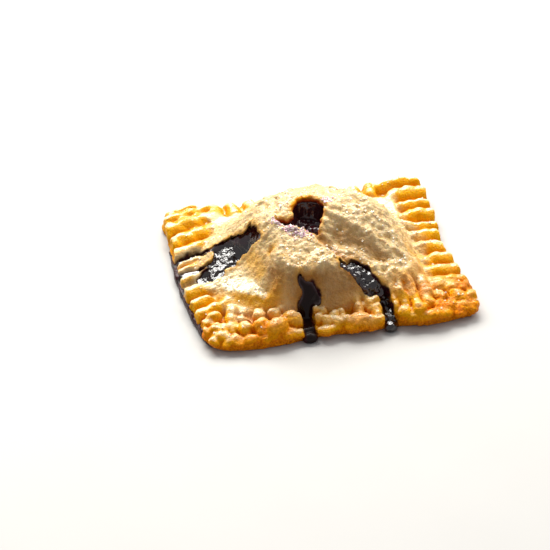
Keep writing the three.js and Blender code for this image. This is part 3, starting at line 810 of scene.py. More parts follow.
# %% The row at the edge, and the knobs
EDGE_LUMPS = 22
EDGE_ROW_END = 46.5
EDGE_INSET = 2.1
EDGE_HEIGHT = 2.6
EDGE_HALF_SIZES = (2.1, 2.2, 2.1)
CUT_FEET = (-12.2, 16.8)
CUT_FEET_FREE = 3.2


def add_edge_lump(index):
    x = EDGE_ROW_END * (2 * index / (EDGE_LUMPS - 1) - 1) + 0.9 * uneven(index, 31)
    if min(abs(x - foot) for foot in CUT_FEET) > CUT_FEET_FREE:
        y = -front_edge(x) + EDGE_INSET + 0.8 * uneven(index, 32)
        z = EDGE_HEIGHT + 0.7 * uneven(index, 33)
        half_x, half_y, half_z = EDGE_HALF_SIZES
        add_lump(x, y, z, half_x + 0.6 * uneven(index, 34), half_y, half_z + 0.4 * uneven(index, 35))


for index in range(EDGE_LUMPS):
    add_edge_lump(index)

KNOBS = 110
KNOB_SUNK = 0.45  # share of its half-size by which a knob sinks into the dough
KNOB_FROM_EDGE = 1.6
KNOB_HIGHEST = 9
knob_random = np.random.default_rng(71)
knob_x = knob_random.uniform(-49, 49, KNOBS)
knob_y = -28 - 15 * knob_random.uniform(0, 1, KNOBS) ** 0.8
knob_size = knob_random.uniform(0.7, 1.5, KNOBS)
column_top = np.where(dough_lumps < 0, heights, 0).max(axis=2)
column_top = np.maximum(column_top, rim_top)
for x, y, size in zip(knob_x, knob_y, knob_size):
    i, j = round((x - GRID_LOW[0]) / CELL), round((y - GRID_LOW[1]) / CELL)
    if top_edge[i, j] < -KNOB_FROM_EDGE and column_top[i, j] < KNOB_HIGHEST:
        add_lump(x, y, column_top[i, j] - KNOB_SUNK * size, size, size, size)
print("edge lumps and knobs at most:", EDGE_LUMPS + KNOBS)

# %% [markdown]
# ## From heights to solid dough
#
# The height map is turned into distances by dividing by its slope. The top sheet ends at its
# outline, which recedes at each groove, and a wide fillet there gives the blunt noses. The
# bottom sheet is a plain slab with a rounded edge.

# %% Solid dough
NOSE_FILLET = 1.2
LUMP_FILLET = 0.9
SEAM_FILLET = 0.3
SCALLOP = 0.7  # how far the outline recedes at a groove
SCALLOP_START = 0.3
NOSE_START = 0.6
LEFT_STEP = 0.7  # how far the top sheet stands back from the bottom one on the left
FRONT_HANG = 2.2  # how far the front lumps may hang over the edge
SHEET_ROUNDING = 0.8
OVERLAP = 0.1  # the sheets reach into each other, so that they join


def under_height(height_map, steepest=3.0):
    """Distance to a surface given by its height, negative below it.

    Where the surface is steeper than steepest, the distance comes out too long.
    """
    slope_x, slope_y = np.gradient(height_map, CELL)
    slope = np.minimum(np.hypot(slope_x, slope_y), steepest)
    return (heights - height_map[:, :, None]) / np.sqrt(1 + slope ** 2)[:, :, None]


def slab_distance(edge, bottom, top, rounding):
    """A flat sheet from its outline distance and two heights, with rounded edges."""
    sideways = edge[:, :, None] + rounding
    upwards = np.abs(heights - (bottom + top) / 2) - (top - bottom) / 2 + rounding
    inner = np.minimum(np.maximum(sideways, upwards), 0)
    outer = np.hypot(np.maximum(sideways, 0), np.maximum(upwards, 0))
    return inner + outer - rounding


scalloped = top_edge + SCALLOP * (1 - lump_cover) - SCALLOP_START
pastry = soft_max(under_height(sheet_top), scalloped[:, :, None], NOSE_FILLET)
pastry = soft_min(pastry, dough_lumps, LUMP_FILLET)
at_left = step_between(-flat_x, 40, 45) * step_between(-flat_y, -24, -16)
nose_edge = top_edge - NOSE_START + LEFT_STEP * at_left
nose_edge -= FRONT_HANG * step_between(-flat_y, 31, 37)
pastry = soft_max(pastry, nose_edge[:, :, None], NOSE_FILLET)
pastry = soft_max(pastry, SHEET - 2 * OVERLAP - heights, 0.5)
bottom_sheet = slab_distance(bottom_edge, 0, SHEET + OVERLAP, SHEET_ROUNDING)
pastry = soft_min(pastry, bottom_sheet, SEAM_FILLET)
print("solid dough in cubic cm:", round(float((pastry < 0).sum()) * CELL ** 3 / 1000, 1))

# %% [markdown]
# ## The hole, the tear and the cuts
#
# The openings are drawn in plan as closed curves, a few points each. The hole and the tear broke
# open in the oven, and the two cuts gape and lead down over the front edge. From the tear three
# runs of jam lead to the left edge, and these are lines with a width at each point.

# %% The openings in plan
TOP_HOLE = [
    (-16.0, -3.2), (-14.4, -2.0), (-12.1, -2.8), (-9.8, -2.3), (-9.0, 0.7), (-7.6, 3.8),
    (-5.5, 6.1), (-3.2, 6.4), (-0.2, 5.3), (1.9, 3.2), (2.8, 0.6), (1.2, -2.8), (0.0, -5.9),
    (-1.2, -8.1), (-2.1, -10.0), (-4.1, -10.9), (-5.8, -10.6), (-7.9, -9.5), (-10.0, -8.2),
    (-12.7, -6.8), (-14.5, -5.2),
]
LEFT_TEAR = [
    (-24.2, 2.2), (-23.0, -2.3), (-21.7, -5.4), (-22.2, -6.2), (-23.2, -5.8), (-24.8, -4.7),
    (-26.6, -4.2), (-28.4, -4.1), (-30.4, -4.7), (-31.0, -5.8), (-33.5, -6.0), (-35.5, -6.8),
    (-38.2, -8.8), (-41.3, -7.8), (-43.7, -6.0), (-45.2, -3.9), (-43.8, -2.3), (-41.4, -1.6),
    (-39.8, 0.5), (-37.9, 1.7), (-37.2, 4.1), (-37.2, 7.3), (-35.8, 7.3), (-33.6, 7.4),
    (-31.2, 7.6), (-29.3, 4.6), (-27.0, 2.6), (-25.4, 2.2),
]
FRONT_CUT = [
    (-12.9, -27.0), (-11.9, -27.9), (-10.2, -28.9), (-8.4, -29.6), (-6.7, -30.6), (-6.0, -31.6),
    (-7.0, -32.2), (-9.1, -32.4), (-10.1, -33.2), (-10.2, -37.9), (-10.4, -48), (-14.0, -48),
    (-13.8, -39), (-13.3, -34.5), (-14.1, -32.4), (-13.9, -31.4), (-12.4, -30.7), (-12.5, -29.5),
    (-13.3, -28.3),
]
RIGHT_CUT = [
    (2.3, -23.6), (3.5, -24.8), (5.9, -23.6), (8.9, -23.1), (12.4, -25.2), (13.7, -27.6),
    (15.3, -30.1), (17.5, -31.1), (18.5, -32.9), (18.6, -37.1), (19.4, -48), (15.0, -48),
    (15.3, -40.4), (16.0, -35.9), (16.4, -32.2), (15.1, -31.6), (12.5, -31.3), (10.5, -31.6),
    (8.8, -29.9), (6.4, -28.0), (4.0, -26.5), (2.6, -25.3),
]
# Runs of jam: points of the middle line as x, y and the width there.
TEAR_RUNS = [
    [(-37, 7.6, 2.4), (-43, 10.4, 2.4), (-48, 8.6, 2.2), (-58, 5.8, 2.2)],
    [(-40, -0.2, 2.6), (-46, 0.6, 2.4), (-58, -3.6, 2.4)],
    [(-41, -6, 2.8), (-46.6, -7.6, 2.4), (-58, -11, 2.6)],
]
print("runs of jam from the tear:", len(TEAR_RUNS))

# %% [markdown]
# The edges are torn, so noise is added to the distance from each curve: most of it at the tear,
# less at the hole and the cuts.

# %% Ragged openings
RAGGED = [(0.55, 2.2, 21), (0.3, 1.1, 22)]
HOLE_RAGGED = 0.7
TEAR_RAGGED = 1.0
CUT_RAGGED = 0.5


def opening_distance(outline, raggedness):
    return outline_distance(smooth_curve(outline, closed=True), flat_x, flat_y) + raggedness * ragged


def run_distance(run):
    """Distance to a run's bank: to its middle line, less half its width there."""
    line = smooth_curve(run, closed=False)
    nearest = np.full(flat_x.shape, 1e9)
    for start, end in zip(line[:-1], line[1:]):
        bank = line_distance(flat_x, flat_y, [start, end]) - (start[2] + end[2]) / 4
        nearest = np.minimum(nearest, bank)
    return nearest


ragged = layered_bumps(flat_points, RAGGED)
hole_gap = opening_distance(TOP_HOLE, HOLE_RAGGED)
tear_gap = opening_distance(LEFT_TEAR, TEAR_RAGGED)
front_gap = opening_distance(FRONT_CUT, CUT_RAGGED)
right_gap = opening_distance(RIGHT_CUT, CUT_RAGGED)
tear_run_gap = np.minimum.reduce([run_distance(run) for run in TEAR_RUNS]) + CUT_RAGGED * ragged
jam_gap = np.minimum.reduce([tear_gap, front_gap, right_gap, tear_run_gap])
print("openings in square mm:", round(float((np.minimum(hole_gap, jam_gap) < 0).sum()) * CELL ** 2))

# %% [markdown]
# ## Cutting the openings
#
# Under the dome the crust is hollow, 3 mm thick, with the berries inside. The hollow is cut with
# a sharp edge that nobody sees. The openings are cut after it, with a large fillet where they
# meet the surface, which gives the fat rounded lip of baked dough.

# %% Cut the hollow and the openings
FLOOR = 3.0
HOLE_FLOOR = 10
WALL = 4.0
CRUST = 3.0
THINNER_AT_JAM = 1.5
SHARE_IN_MM = 24  # what one whole share of the dome measures near its foot
LIP_BLEND = 1.3

torn_edge = np.minimum(hole_gap, jam_gap)
crust_here = CRUST - THINNER_AT_JAM * step_between(jam_gap, 4.0, 0.5)
dome_side = (dome_share(flat_x, flat_y, WALL) - 1) * SHARE_IN_MM
hollow = np.maximum(under_height(sheet_top - crust_here), FLOOR - heights)
hollow = np.maximum(hollow, dome_side[:, :, None])
pastry = np.maximum(pastry, -hollow)
openings = np.maximum(jam_gap[:, :, None], FLOOR - heights)
pastry = soft_max(pastry, -openings, LIP_BLEND)
top_opening = np.maximum(hole_gap[:, :, None], HOLE_FLOOR - heights)
pastry = soft_max(pastry, -top_opening, LIP_BLEND)
print("pastry volume in cubic cm:", round(float((pastry < 0).sum()) * CELL ** 3 / 1000, 1))

# %% [markdown]
# ## From distances to a mesh
#
# Openvdb, the volume library inside Blender, walks through the grid and lays four-sided faces
# where the distance changes sign. Small closed bubbles, left where two shapes just fail to
# meet, are dropped. The direction that the surface faces at each point is needed as well.

# %% From distances to a mesh
FIELD_LIMIT = 5.0  # distances beyond this many mm don't matter for the surface


def main_shell(points, faces):
    """Keeps the largest connected part: each point takes the lowest number it touches."""
    shell = np.arange(len(points))
    while True:
        joined = shell.copy()
        np.minimum.at(joined, faces, shell[faces].min(axis=1, keepdims=True))
        joined = joined[joined]
        if (joined == shell).all():
            break
        shell = joined
    kept = shell == np.bincount(shell).argmax()
    new_index = np.cumsum(kept) - 1
    return points[kept], new_index[faces[kept[faces[:, 0]]]]


def distances_to_mesh(field):
    grid = openvdb.FloatGrid(FIELD_LIMIT)
    grid.copyFromArray(np.clip(field, -FIELD_LIMIT, FIELD_LIMIT).astype(np.float32))
    points, faces = grid.convertToQuads(isovalue=0.0)
    return main_shell(np.asarray(points, float) * CELL + GRID_LOW, np.asarray(faces))


def corner_normals(points, faces):
    """The mean direction of the faces round each point."""
    first = points[faces[:, 2]] - points[faces[:, 0]]
    second = points[faces[:, 3]] - points[faces[:, 1]]
    across = np.cross(first, second)
    normals = np.zeros_like(points)
    for corner in range(4):
        np.add.at(normals, faces[:, corner], across)
    lengths = np.linalg.norm(normals, axis=1, keepdims=True)
    return normals / np.maximum(lengths, 1e-9)


pastry_points, pastry_faces = distances_to_mesh(pastry)
pastry_normals = corner_normals(pastry_points, pastry_faces)
print("pastry faces:", len(pastry_faces), "points:", len(pastry_points))

# %% [markdown]
# The grids know more about a point of the mesh than the mesh itself: how far it lies from the
# hole, or how much dough there is round it. One helper reads a grid at points, the other blurs
# a grid, so that it tells about the neighbourhood.

# %% Read and blur a grid
def sample(field, points):
    """Values of a grid, flat or solid, at points, blended between the nearest cells."""
    dimensions = field.ndim
    place = (points[:, :dimensions] - GRID_LOW[:dimensions]) / CELL
    place = np.clip(place, 0, np.array(field.shape) - 1.001)
    corner = place.astype(int)
    share = place - corner
    total = np.zeros(len(points))
    for offset in itertools.product((0, 1), repeat=dimensions):
        weight = np.ones(len(points))
        for axis, step in enumerate(offset):
            weight = weight * (share[:, axis] if step else 1 - share[:, axis])
        total += weight * field[tuple((corner + np.array(offset)).T)]
    return total


def blurred(field, radius):
    """A grid averaged over a box of that radius in mm."""
    size = max(1, round(radius / CELL))
    for axis in range(field.ndim):
        pad = [(0, 0)] * field.ndim
        pad[axis] = (size + 1, size)
        sums = np.cumsum(np.pad(field, pad, mode="edge"), axis=axis)
        length = field.shape[axis]
        upper = np.take(sums, np.arange(2 * size + 1, 2 * size + 1 + length), axis=axis)
        lower = np.take(sums, np.arange(length), axis=axis)
        field = (upper - lower) / (2 * size + 1)
    return field


surface_error = np.abs(sample(pastry, pastry_points)).max()
print("largest distance left on the mesh in mm:", round(float(surface_error), 2))

# %% [markdown]
# ## From a mesh to a piece
#
# A piece is a Blender object with its mesh in metres. Colour could be painted on an image, but
# then it would have to be unwrapped; instead each point carries a few values from 0 to 1, such
# as how toasted it is, and the material mixes its colours by them. The faces all have the size
# of a cell, which is wasted where nobody looks, so a Decimate modifier merges faces, and a
# vertex group tells it to start with the hidden ones.

# %% Piece helpers
def make_piece(name, points, faces):
    """A Blender object from drawing points in mm, shaded smooth."""
    mesh = bpy.data.meshes.new(name)
    mesh.from_pydata(((points + MIDDLE) * MM).tolist(), [], faces.tolist())
    mesh.shade_smooth()
    piece = bpy.data.objects.new(name, mesh)
    bpy.context.scene.collection.objects.link(piece)
    return piece


def add_values(piece, name, values):
    """Stores one value from 0 to 1 per point, for a material to read by name."""
    layer = piece.data.attributes.new(name, "FLOAT", "POINT")
    layer.data.foreach_set("value", np.clip(values, 0, 1).astype(np.float32))


HIDDEN_WEIGHT = 10  # how much sooner the hidden faces are merged


def thin_out(piece, is_visible, ratio):
    """Decimates a piece, the hidden parts first."""
    group = piece.vertex_groups.new(name="hidden")
    group.add(np.flatnonzero(~is_visible).tolist(), 1.0, "REPLACE")
    thin = piece.modifiers.new("thin_out", "DECIMATE")
    thin.ratio = ratio
    thin.vertex_group = group.name
    thin.vertex_group_factor = HIDDEN_WEIGHT


# %% [markdown]
# ## The skin of the pastry
#
# Each point of the mesh is now pushed in or out along its normal. On the dome this gives the
# dry wrinkled skin, on the ridges soft waves, on the front lumps small knobs, and at the cut
# edge thin layers of dough that part from each other. A displacement texture could do the same,
# but here the push has to differ from place to place.

# %% Push the skin
DRY_BLISTERS = (0.22, 1.9)  # height and size in mm
DRY_GRAIN = [(0.3, 1.05, 42)]
DRY_STRANDS = (0.12, 0.85)
SOFT_WAVES = [(0.22, 3.4, 43), (0.13, 1.5, 44), (0.07, 0.95, 48)]
KNOBBLY = [(0.12, 0.9, 46), (0.35, 2.6, 49)]
FLAT_LAYERS = np.array([0.3, 0.3, 1.3])  # stretches the noise sideways into thin layers
LAYER_SIZE = 1.05
LAYER_RISE = 0.22
CORNER_LAYER_RISE = 0.3
FLAKY_CORNER = (48, -36, 14, 22)  # middle x and y, and reach in x and y
SHARE_WAVER = 0.05
RIM_BEGINS = (0.93, 1.06)  # share of the dome's width over which its skin gives way to the rim
FRONT_BEGINS = (24, 29)  # mm in front of the middle
EDGE_BAND = (3.5, 1.5)  # mm in from the outline where the layers begin and are at their most
UPRIGHT = (0.9, 0.5)  # from nearly level to steep, by how much the surface faces up or down
OCCUPIED_NEAR = 1.0  # radius in mm over which the dough round a point is weighed
GROOVE_FILL = (0.47, 0.72)  # share of dough there, from plain skin to the bottom of a groove
INNER_SKIN = 0.35  # mm from the hollow up to which skin counts as hidden
UNDERSIDE = 0.6  # no push below this height, so that the pie lies flat


def patch(x, y, reach_x, reach_y):
    """1 at the middle of a patch of the crust, falling off to 0 round it."""
    return hump(pastry_points[:, 0], x, reach_x) * hump(pastry_points[:, 1], y, reach_y)


share_here = dome_share(pastry_points[:, 0], pastry_points[:, 1])
share_here += SHARE_WAVER * bumps(pastry_points[:, :2], 5, 31)
on_rim = step_between(share_here, *RIM_BEGINS)
front_zone = on_rim * step_between(-pastry_points[:, 1], *FRONT_BEGINS)
inner_skin = sample(hollow, pastry_points) < INNER_SKIN
faces_down = (pastry_normals[:, 2] < -0.5) & (pastry_points[:, 2] < 1.5)
skin_visible = ~(inner_skin | faces_down)
occupied = np.clip(0.5 - pastry / CELL, 0, 1)
# painted shade: this share of dough round a point is high in grooves and pits, and later darkens them to
# gold and orange in the colours
groove_shade = step_between(sample(blurred(occupied, OCCUPIED_NEAR), pastry_points), *GROOVE_FILL)

blister_rise, blister_size = DRY_BLISTERS
dry_skin = blister_rise * creased(pastry_points, blister_size, 41)
dry_skin += layered_bumps(pastry_points, DRY_GRAIN)
dry_skin += DRY_STRANDS[0] * strands(pastry_points[:, :2], 47, thickness=DRY_STRANDS[1])
knobbly = blister_rise * creased(pastry_points, blister_size, 45)
knobbly += layered_bumps(pastry_points, KNOBBLY)
layers = bumps(pastry_points * FLAT_LAYERS, LAYER_SIZE, 53)
near_edge = step_between(-sample(bottom_edge, pastry_points), *EDGE_BAND)
flaky = near_edge * on_rim * step_between(np.abs(pastry_normals[:, 2]), *UPRIGHT)
flaky *= LAYER_RISE + CORNER_LAYER_RISE * patch(*FLAKY_CORNER)

push = dry_skin * (1 - on_rim) + layered_bumps(pastry_points, SOFT_WAVES) * on_rim
push += knobbly * front_zone + flaky * layers
push *= skin_visible & (pastry_points[:, 2] >= UNDERSIDE)
pastry_points = pastry_points + pastry_normals * push[:, None]
pastry_points[:, 2] = np.maximum(pastry_points[:, 2], 0)
print("skin pushed by up to mm:", round(float(np.abs(push).max()), 2))

# %% [markdown]
# ## Where the oven browns, and where light and shade are painted
#
# A baked pie has no single tone. The lower edges turn golden to orange, and the dome stays
# floury. Light and shade are painted in as well: painted shade turns the grooves, the pits and
# hollows of the dome and the steep flanks of the front lumps gold to orange, and a painted
# highlight makes the crests that face the window and the level tops cream white. So before any
# colour is chosen, each point is asked where it lies: in a groove or on a crest, on the rim or on
# the dome, near the hole or near jam, facing up or facing the back. Two noises keep the borders
# between the tones uneven. A few places get a name, as a painter would mark them on a sketch
# before mixing colours.

# %% Where each point lies
point_x, point_y, point_z = pastry_points.T
normal_y, normal_z = pastry_normals[:, 1], pastry_normals[:, 2]
patchy = bumps(pastry_points, 6, 51)
fine_patchy = bumps(pastry_points, 2.2, 52)
near_hole = sample(hole_gap, pastry_points)
near_jam = sample(jam_gap, pastry_points)
below_sheet = sample(sheet_top, pastry_points) - point_z
height_map = np.where(pastry < 0, heights, 0).max(axis=2)
above_mean = sample(height_map - blurred(height_map, 3.0), pastry_points)
at_edge = step_between(-np.minimum(sample(bottom_edge, pastry_points), 0), 3.5, 0.3)
front_side = step_between(-point_y, 20, 36)
low_down = step_between(point_z, 4.5, 1.0)
faces_up = step_between(normal_z, 0.84, 0.97)
# faces_back steers the painted highlight on the crests
faces_back = step_between(normal_y, -0.25, 0.3) * step_between(normal_z, 0.1, 0.5)

# Patches: middle x and y, and reach in x and y, in mm.
RIGHT_FRONT = (44, -36, 19, 18)
GOLDEN_SIDE = (36, -21, 12, 17)
BROWN_CORNER = (42, -30, 9, 7)
# Lines on the crust and how far their tone reaches.
# TERRACE marks a painted highlight; VALLEY and SHOULDER_FACE mark painted shade in tan, APRON and DIMPLE
# painted shade in gold.
TERRACE = ([(-39.5, -11.6), (-34.5, -15.4), (-30.5, -18.6), (-27.2, -22.0)], 4.6)
BANK_FACE = ([(-26.5, -7.5), (-25.2, -12.0), (-24.4, -17.0)], 2.6)
VALLEY = ([(-3.7, -10.7), (-1.7, -14.7), (1.1, -18.0), (4.0, -21.5)], 2.2)
SHOULDER_FACE = ([(5, -11.4), (20, -20)], 2.6)
APRON = ([(-40.0, -19.5), (-33.5, -22.5), (-27.5, -26.0), (-22.0, -27.5)], 4.2)
DIMPLE = (-20, -13.8, 1.9)


def on_line(line, reach):
    """1 on a line drawn on the crust, falling off to 0 beside it."""
    return hump(line_distance(point_x, point_y, line), 0, reach)


def round_spot(x, y, reach):
    return hump(np.hypot(point_x - x, point_y - y), 0, reach)


right_front = patch(*RIGHT_FRONT)
brown_corner = patch(*BROWN_CORNER) * step_between(patchy + fine_patchy, -0.9, 0.7)
golden_side = patch(*GOLDEN_SIDE) * step_between(patchy + 0.5 * fine_patchy, -0.9, 0.4)
golden_side *= step_between(point_x, 25, 31)
on_terrace = on_line(*TERRACE) * step_between(normal_z, 0.7, 0.95)
shelf_here = step_between(-sample(top_edge + shelf_start, pastry_points), -3.0, 1.5) * on_rim
shelf_here *= 1 - 0.7 * right_front
by_tear = step_between(near_jam, 3.5, 0.5) * step_between(-point_x, 36, 40)
pale_front = front_zone * hump(point_x, -3, 20) * step_between(point_z, 4.0, 7.0)
far_lip = hump(near_hole, 0.3, 1.3) * step_between(point_y, -2, 2) * step_between(-point_x, -2, 3)
print("share of the crust in grooves:", round(float(groove_shade[skin_visible].mean()), 2))

# %% [markdown]
# ### Toast, and painted shade in orange
#
# Toast is the orange to red-brown of the hottest dough: the lower edge all along the front, the
# right front corner, the gaps between the parted layers, and a few spots where a lump stands
# furthest out. The same orange is painted shade in the grooves of the rim and the front, and on
# the steep flanks of the front lumps, which face away from the window. Each line adds an amount
# where its mask is 1.

# %% Toast and painted shade
# Spots: x, y, reach in mm and amount.
BROWNED = [
    (-23.8, -40.5, 4, 0.35), (-28, -38.5, 3, 0.35), (36.1, -38, 3.2, 0.9), (6.2, -41, 5, 0.45),
    (33, -43, 3, 0.5), (-32, -41.6, 4, 0.6),
]
toast_and_painted_shade = low_down * (0.45 * at_edge + 0.4 * front_side)
toast_and_painted_shade += 0.3 * front_side * on_rim * step_between(patchy, 0.0, 0.8)
toast_and_painted_shade += 0.65 * right_front * on_rim * step_between(fine_patchy + patchy, -0.9, 0.9)
# painted shade: orange in the grooves of the front and of the rim
toast_and_painted_shade += front_zone * (0.12 + 0.35 * groove_shade) + 0.55 * groove_shade * on_rim * (1 - shelf_here)
# painted shade: orange on the steep flanks of the front lumps, which face away from the window
toast_and_painted_shade += 0.45 * front_side * on_rim * step_between(normal_z, 0.5, 0.0)
toast_and_painted_shade += 0.5 * front_side * step_between(point_z, 3.2, 1.2)
toast_and_painted_shade += 1.5 * flaky * step_between(-layers, 0.0, 0.7)
toast_and_painted_shade *= 1 - 0.5 * pale_front
for x, y, reach, amount in BROWNED:
    toast_and_painted_shade += amount * round_spot(x, y, reach)
toast_and_painted_shade = np.clip(toast_and_painted_shade + 0.4 * far_lip, 0, 1)
print("mean toast:", round(float(toast_and_painted_shade[skin_visible].mean()), 2))

# %% [markdown]
# ### Gold, and painted shade in gold
#
# Egg wash bakes to a golden yellow. It covers the rim, thins out towards the shelf at the foot
# of the dome, and leaves only traces on the dome: in random patches, round the torn lips, on the
# bank beside the tear, and on a patch at the right. The gold in the creases and pits of the
# dome's skin, in the hollow along the left front foot and in one dimple is painted shade.
# Toasted dough on the rim is always golden underneath.

# %% Gold and painted shade
gold_and_painted_shade = on_rim * (1.1 + 0.2 * patchy) * (1 - np.maximum(0.8 * shelf_here, by_tear))
# painted shade: besides random gold patches, the pits of the dry skin turn gold
dome_gold_and_pit_shade = step_between(patchy + 0.7 * fine_patchy, 0.1, 1.1)
dome_gold_and_pit_shade += 0.8 * step_between(-dry_skin, 0.0, 0.3)
gold_and_painted_shade += (1 - on_rim) * (0.2 * dome_gold_and_pit_shade + 0.3 * groove_shade)
gold_and_painted_shade *= 1 - 0.5 * pale_front
gold_and_painted_shade += 0.55 * step_between(np.minimum(near_hole, near_jam), 2.4, 0.3) * (1 - on_rim)
# painted shade: the gold along APRON and at DIMPLE
gold_and_painted_shade = np.maximum.reduce([
    gold_and_painted_shade, far_lip, toast_and_painted_shade * on_rim, 0.6 * on_line(*BANK_FACE) * (1 - on_terrace),
    0.75 * golden_side, 0.9 * on_line(*APRON), 0.8 * round_spot(*DIMPLE),
])
print("mean gold:", round(float(gold_and_painted_shade[skin_visible].mean()), 2))

# %% [markdown]
# ### Painted crest highlights, glaze, and painted shade in tan
#
# A painted highlight makes the tops of the ridges that face the window cream white, and also
# the level tops of the front lumps, the terrace and the level shelf. Where the egg wash lies
# thick and level it makes a glaze, a clear coat that mirrors the window. Painted shade turns the
# front of the dome, which hangs over, a dull tan, and so the valley in front of the shoulder and
# the shoulder's steep face; in the right front corner the same tan is a browner patch of dough.

# %% Painted crest highlights, glaze, and painted shade in tan
# painted highlight: cream white on the crests that face the window, on the level tops of the front lumps,
# on the terrace and on the level shelf
crest = step_between(above_mean + 0.3 * fine_patchy, 0.35, 1.2) * faces_back * on_rim
lump_top_highlight = front_zone * step_between(normal_z, 0.76, 0.99)
crest = np.maximum(crest, 0.6 * lump_top_highlight) * (1 - 0.75 * right_front)
crest = np.maximum.reduce([crest, 0.9 * on_terrace, 0.5 * shelf_here * faces_up])
crest *= 1 - 0.7 * toast_and_painted_shade

glaze = faces_up * (0.5 + 0.5 * on_rim) * (0.8 + 0.5 * fine_patchy)
glaze = np.maximum(glaze, on_terrace)
glaze *= (1 - 0.8 * toast_and_painted_shade) * (1 - 0.8 * brown_corner)

# painted shade: tan on the overhanging front of the dome, on the valley and on the shoulder's steep face;
# in the right front corner the tan is the dough's own browner tone
front_slope = (1 - on_rim) * step_between(-point_y, 14, 24)
tan = front_slope * step_between(point_z, 22, 17) * step_between(-point_x, -14, -9)
tan *= step_between(point_x, -25, -21) * (0.85 + 0.3 * patchy)
tan = np.maximum(tan, (0.9 * on_line(*VALLEY) + 0.6 * on_line(*SHOULDER_FACE)) * (1 - on_rim))
tan = np.maximum(tan, 0.9 * brown_corner)
print("mean crest:", round(float(crest[skin_visible].mean()), 2))

# %% [markdown]
# ### Juice and scorch
#
# Juice boiled over and stained the dough beside it nearly black. Just inside the hole the
# crust's thickness shows, scorched brown at the top and soaked with juice further down.

# %% Juice and scorch
inside_hole = step_between(near_hole, 1.4, 0.6)
depth = below_sheet + 0.4 * fine_patchy
burnt = inside_hole * step_between(depth, 0.3, 1.6)
stain = step_between(near_jam + 0.25 * fine_patchy, 0.7, 0.1)
stain = np.maximum(stain, inside_hole * step_between(depth, 1.6, 3.0))
print("stained points:", int((stain > 0.5).sum()))

# %% [markdown]
# ## The crust as one piece
#
# The tones are stored on the points as named values, and the material will read them. The piece
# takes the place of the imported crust, and a little over half of its faces are kept.

# %% The crust
CRUST_KEEP = 0.52

crust = make_piece("baked_crust", pastry_points, pastry_faces)
# some of these values carry painted light: painted shade in the gold, toast and tan, and a painted
# highlight in the crest
for name, values in {
    "gold_and_painted_shade": gold_and_painted_shade, "toast_and_painted_shade": toast_and_painted_shade, "stain": stain, "tan": tan, "burnt": burnt,
    "rim": on_rim, "crest": crest, "glaze": glaze,
}.items():
    add_values(crust, name, values)
thin_out(crust, skin_visible, CRUST_KEEP)
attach(crust, "root")
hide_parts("crust")
print("crust points:", len(pastry_points))

# %% [markdown]
# ## Shader helpers
#
# Every material here mixes a few flat colours by values: a value stored on the points, or noise
# in the object's own space. A few small functions keep such a recipe readable.

# %% Shader helpers
def new_material(name):
    material = bpy.data.materials.new(name)
    material.use_nodes = True
    tree = material.node_tree
    return material, tree, tree.nodes["Principled BSDF"]


def attribute(tree, name):
    return add_node(tree, "ShaderNodeAttribute", {"attribute_name": name}).outputs["Fac"]


def noise(tree, cell_mm, detail=3.0, roughness=0.55):
    """Procedural noise in object space, with bumps about one cell wide."""
    place = add_node(tree, "ShaderNodeTexCoord").outputs["Object"]
    return add_node(tree, "ShaderNodeTexNoise", inputs={
        "Vector": place, "Scale": 1 / (cell_mm * MM), "Detail": detail, "Roughness": roughness,
    }).outputs["Fac"]


def spread(tree, value, low, high, to_low=0.0, to_high=1.0):
    """Stretches a value's range from low and high to to_low and to_high."""
    return add_node(tree, "ShaderNodeMapRange", inputs={
        "Value": value, "From Min": low, "From Max": high, "To Min": to_low, "To Max": to_high,
    }).outputs["Result"]


FACTOR, COLOUR_A, COLOUR_B, COLOUR_OUT = 0, 6, 7, 2  # the Mix node's colour sockets by number


def mix_colour(tree, share, first, second):
    """The first colour where share is 0, the second where it is 1."""
    first = to_linear(first) if isinstance(first, str) else first
    second = to_linear(second) if isinstance(second, str) else second
    mix = add_node(tree, "ShaderNodeMix", {"data_type": "RGBA"}, {
        FACTOR: share, COLOUR_A: first, COLOUR_B: second,
    })
    return mix.outputs[COLOUR_OUT]


def bump_normal(tree, height, strength, distance_mm):
    return add_node(tree, "ShaderNodeBump", inputs={
        "Strength": strength, "Distance": distance_mm * MM, "Height": height,
    }).outputs["Normal"]


# %% [markdown]
# ## Pastry
#
# Egg-washed baked shortcrust. The eye sees a pale floury dome with a dull skin, turning to
# glossy golden yellow on the rim where the egg wash lies, and to orange and red-brown on the
# lowest lumps. Light enters the fat-rich crumb a little, so the shadows glow. The glaze is a
# clear coat over the dough, only as strong as the stored value says. Light and shade are also
# painted into the colour: cream white highlights on crests and level tops, and shade in tan,
# gold and orange.

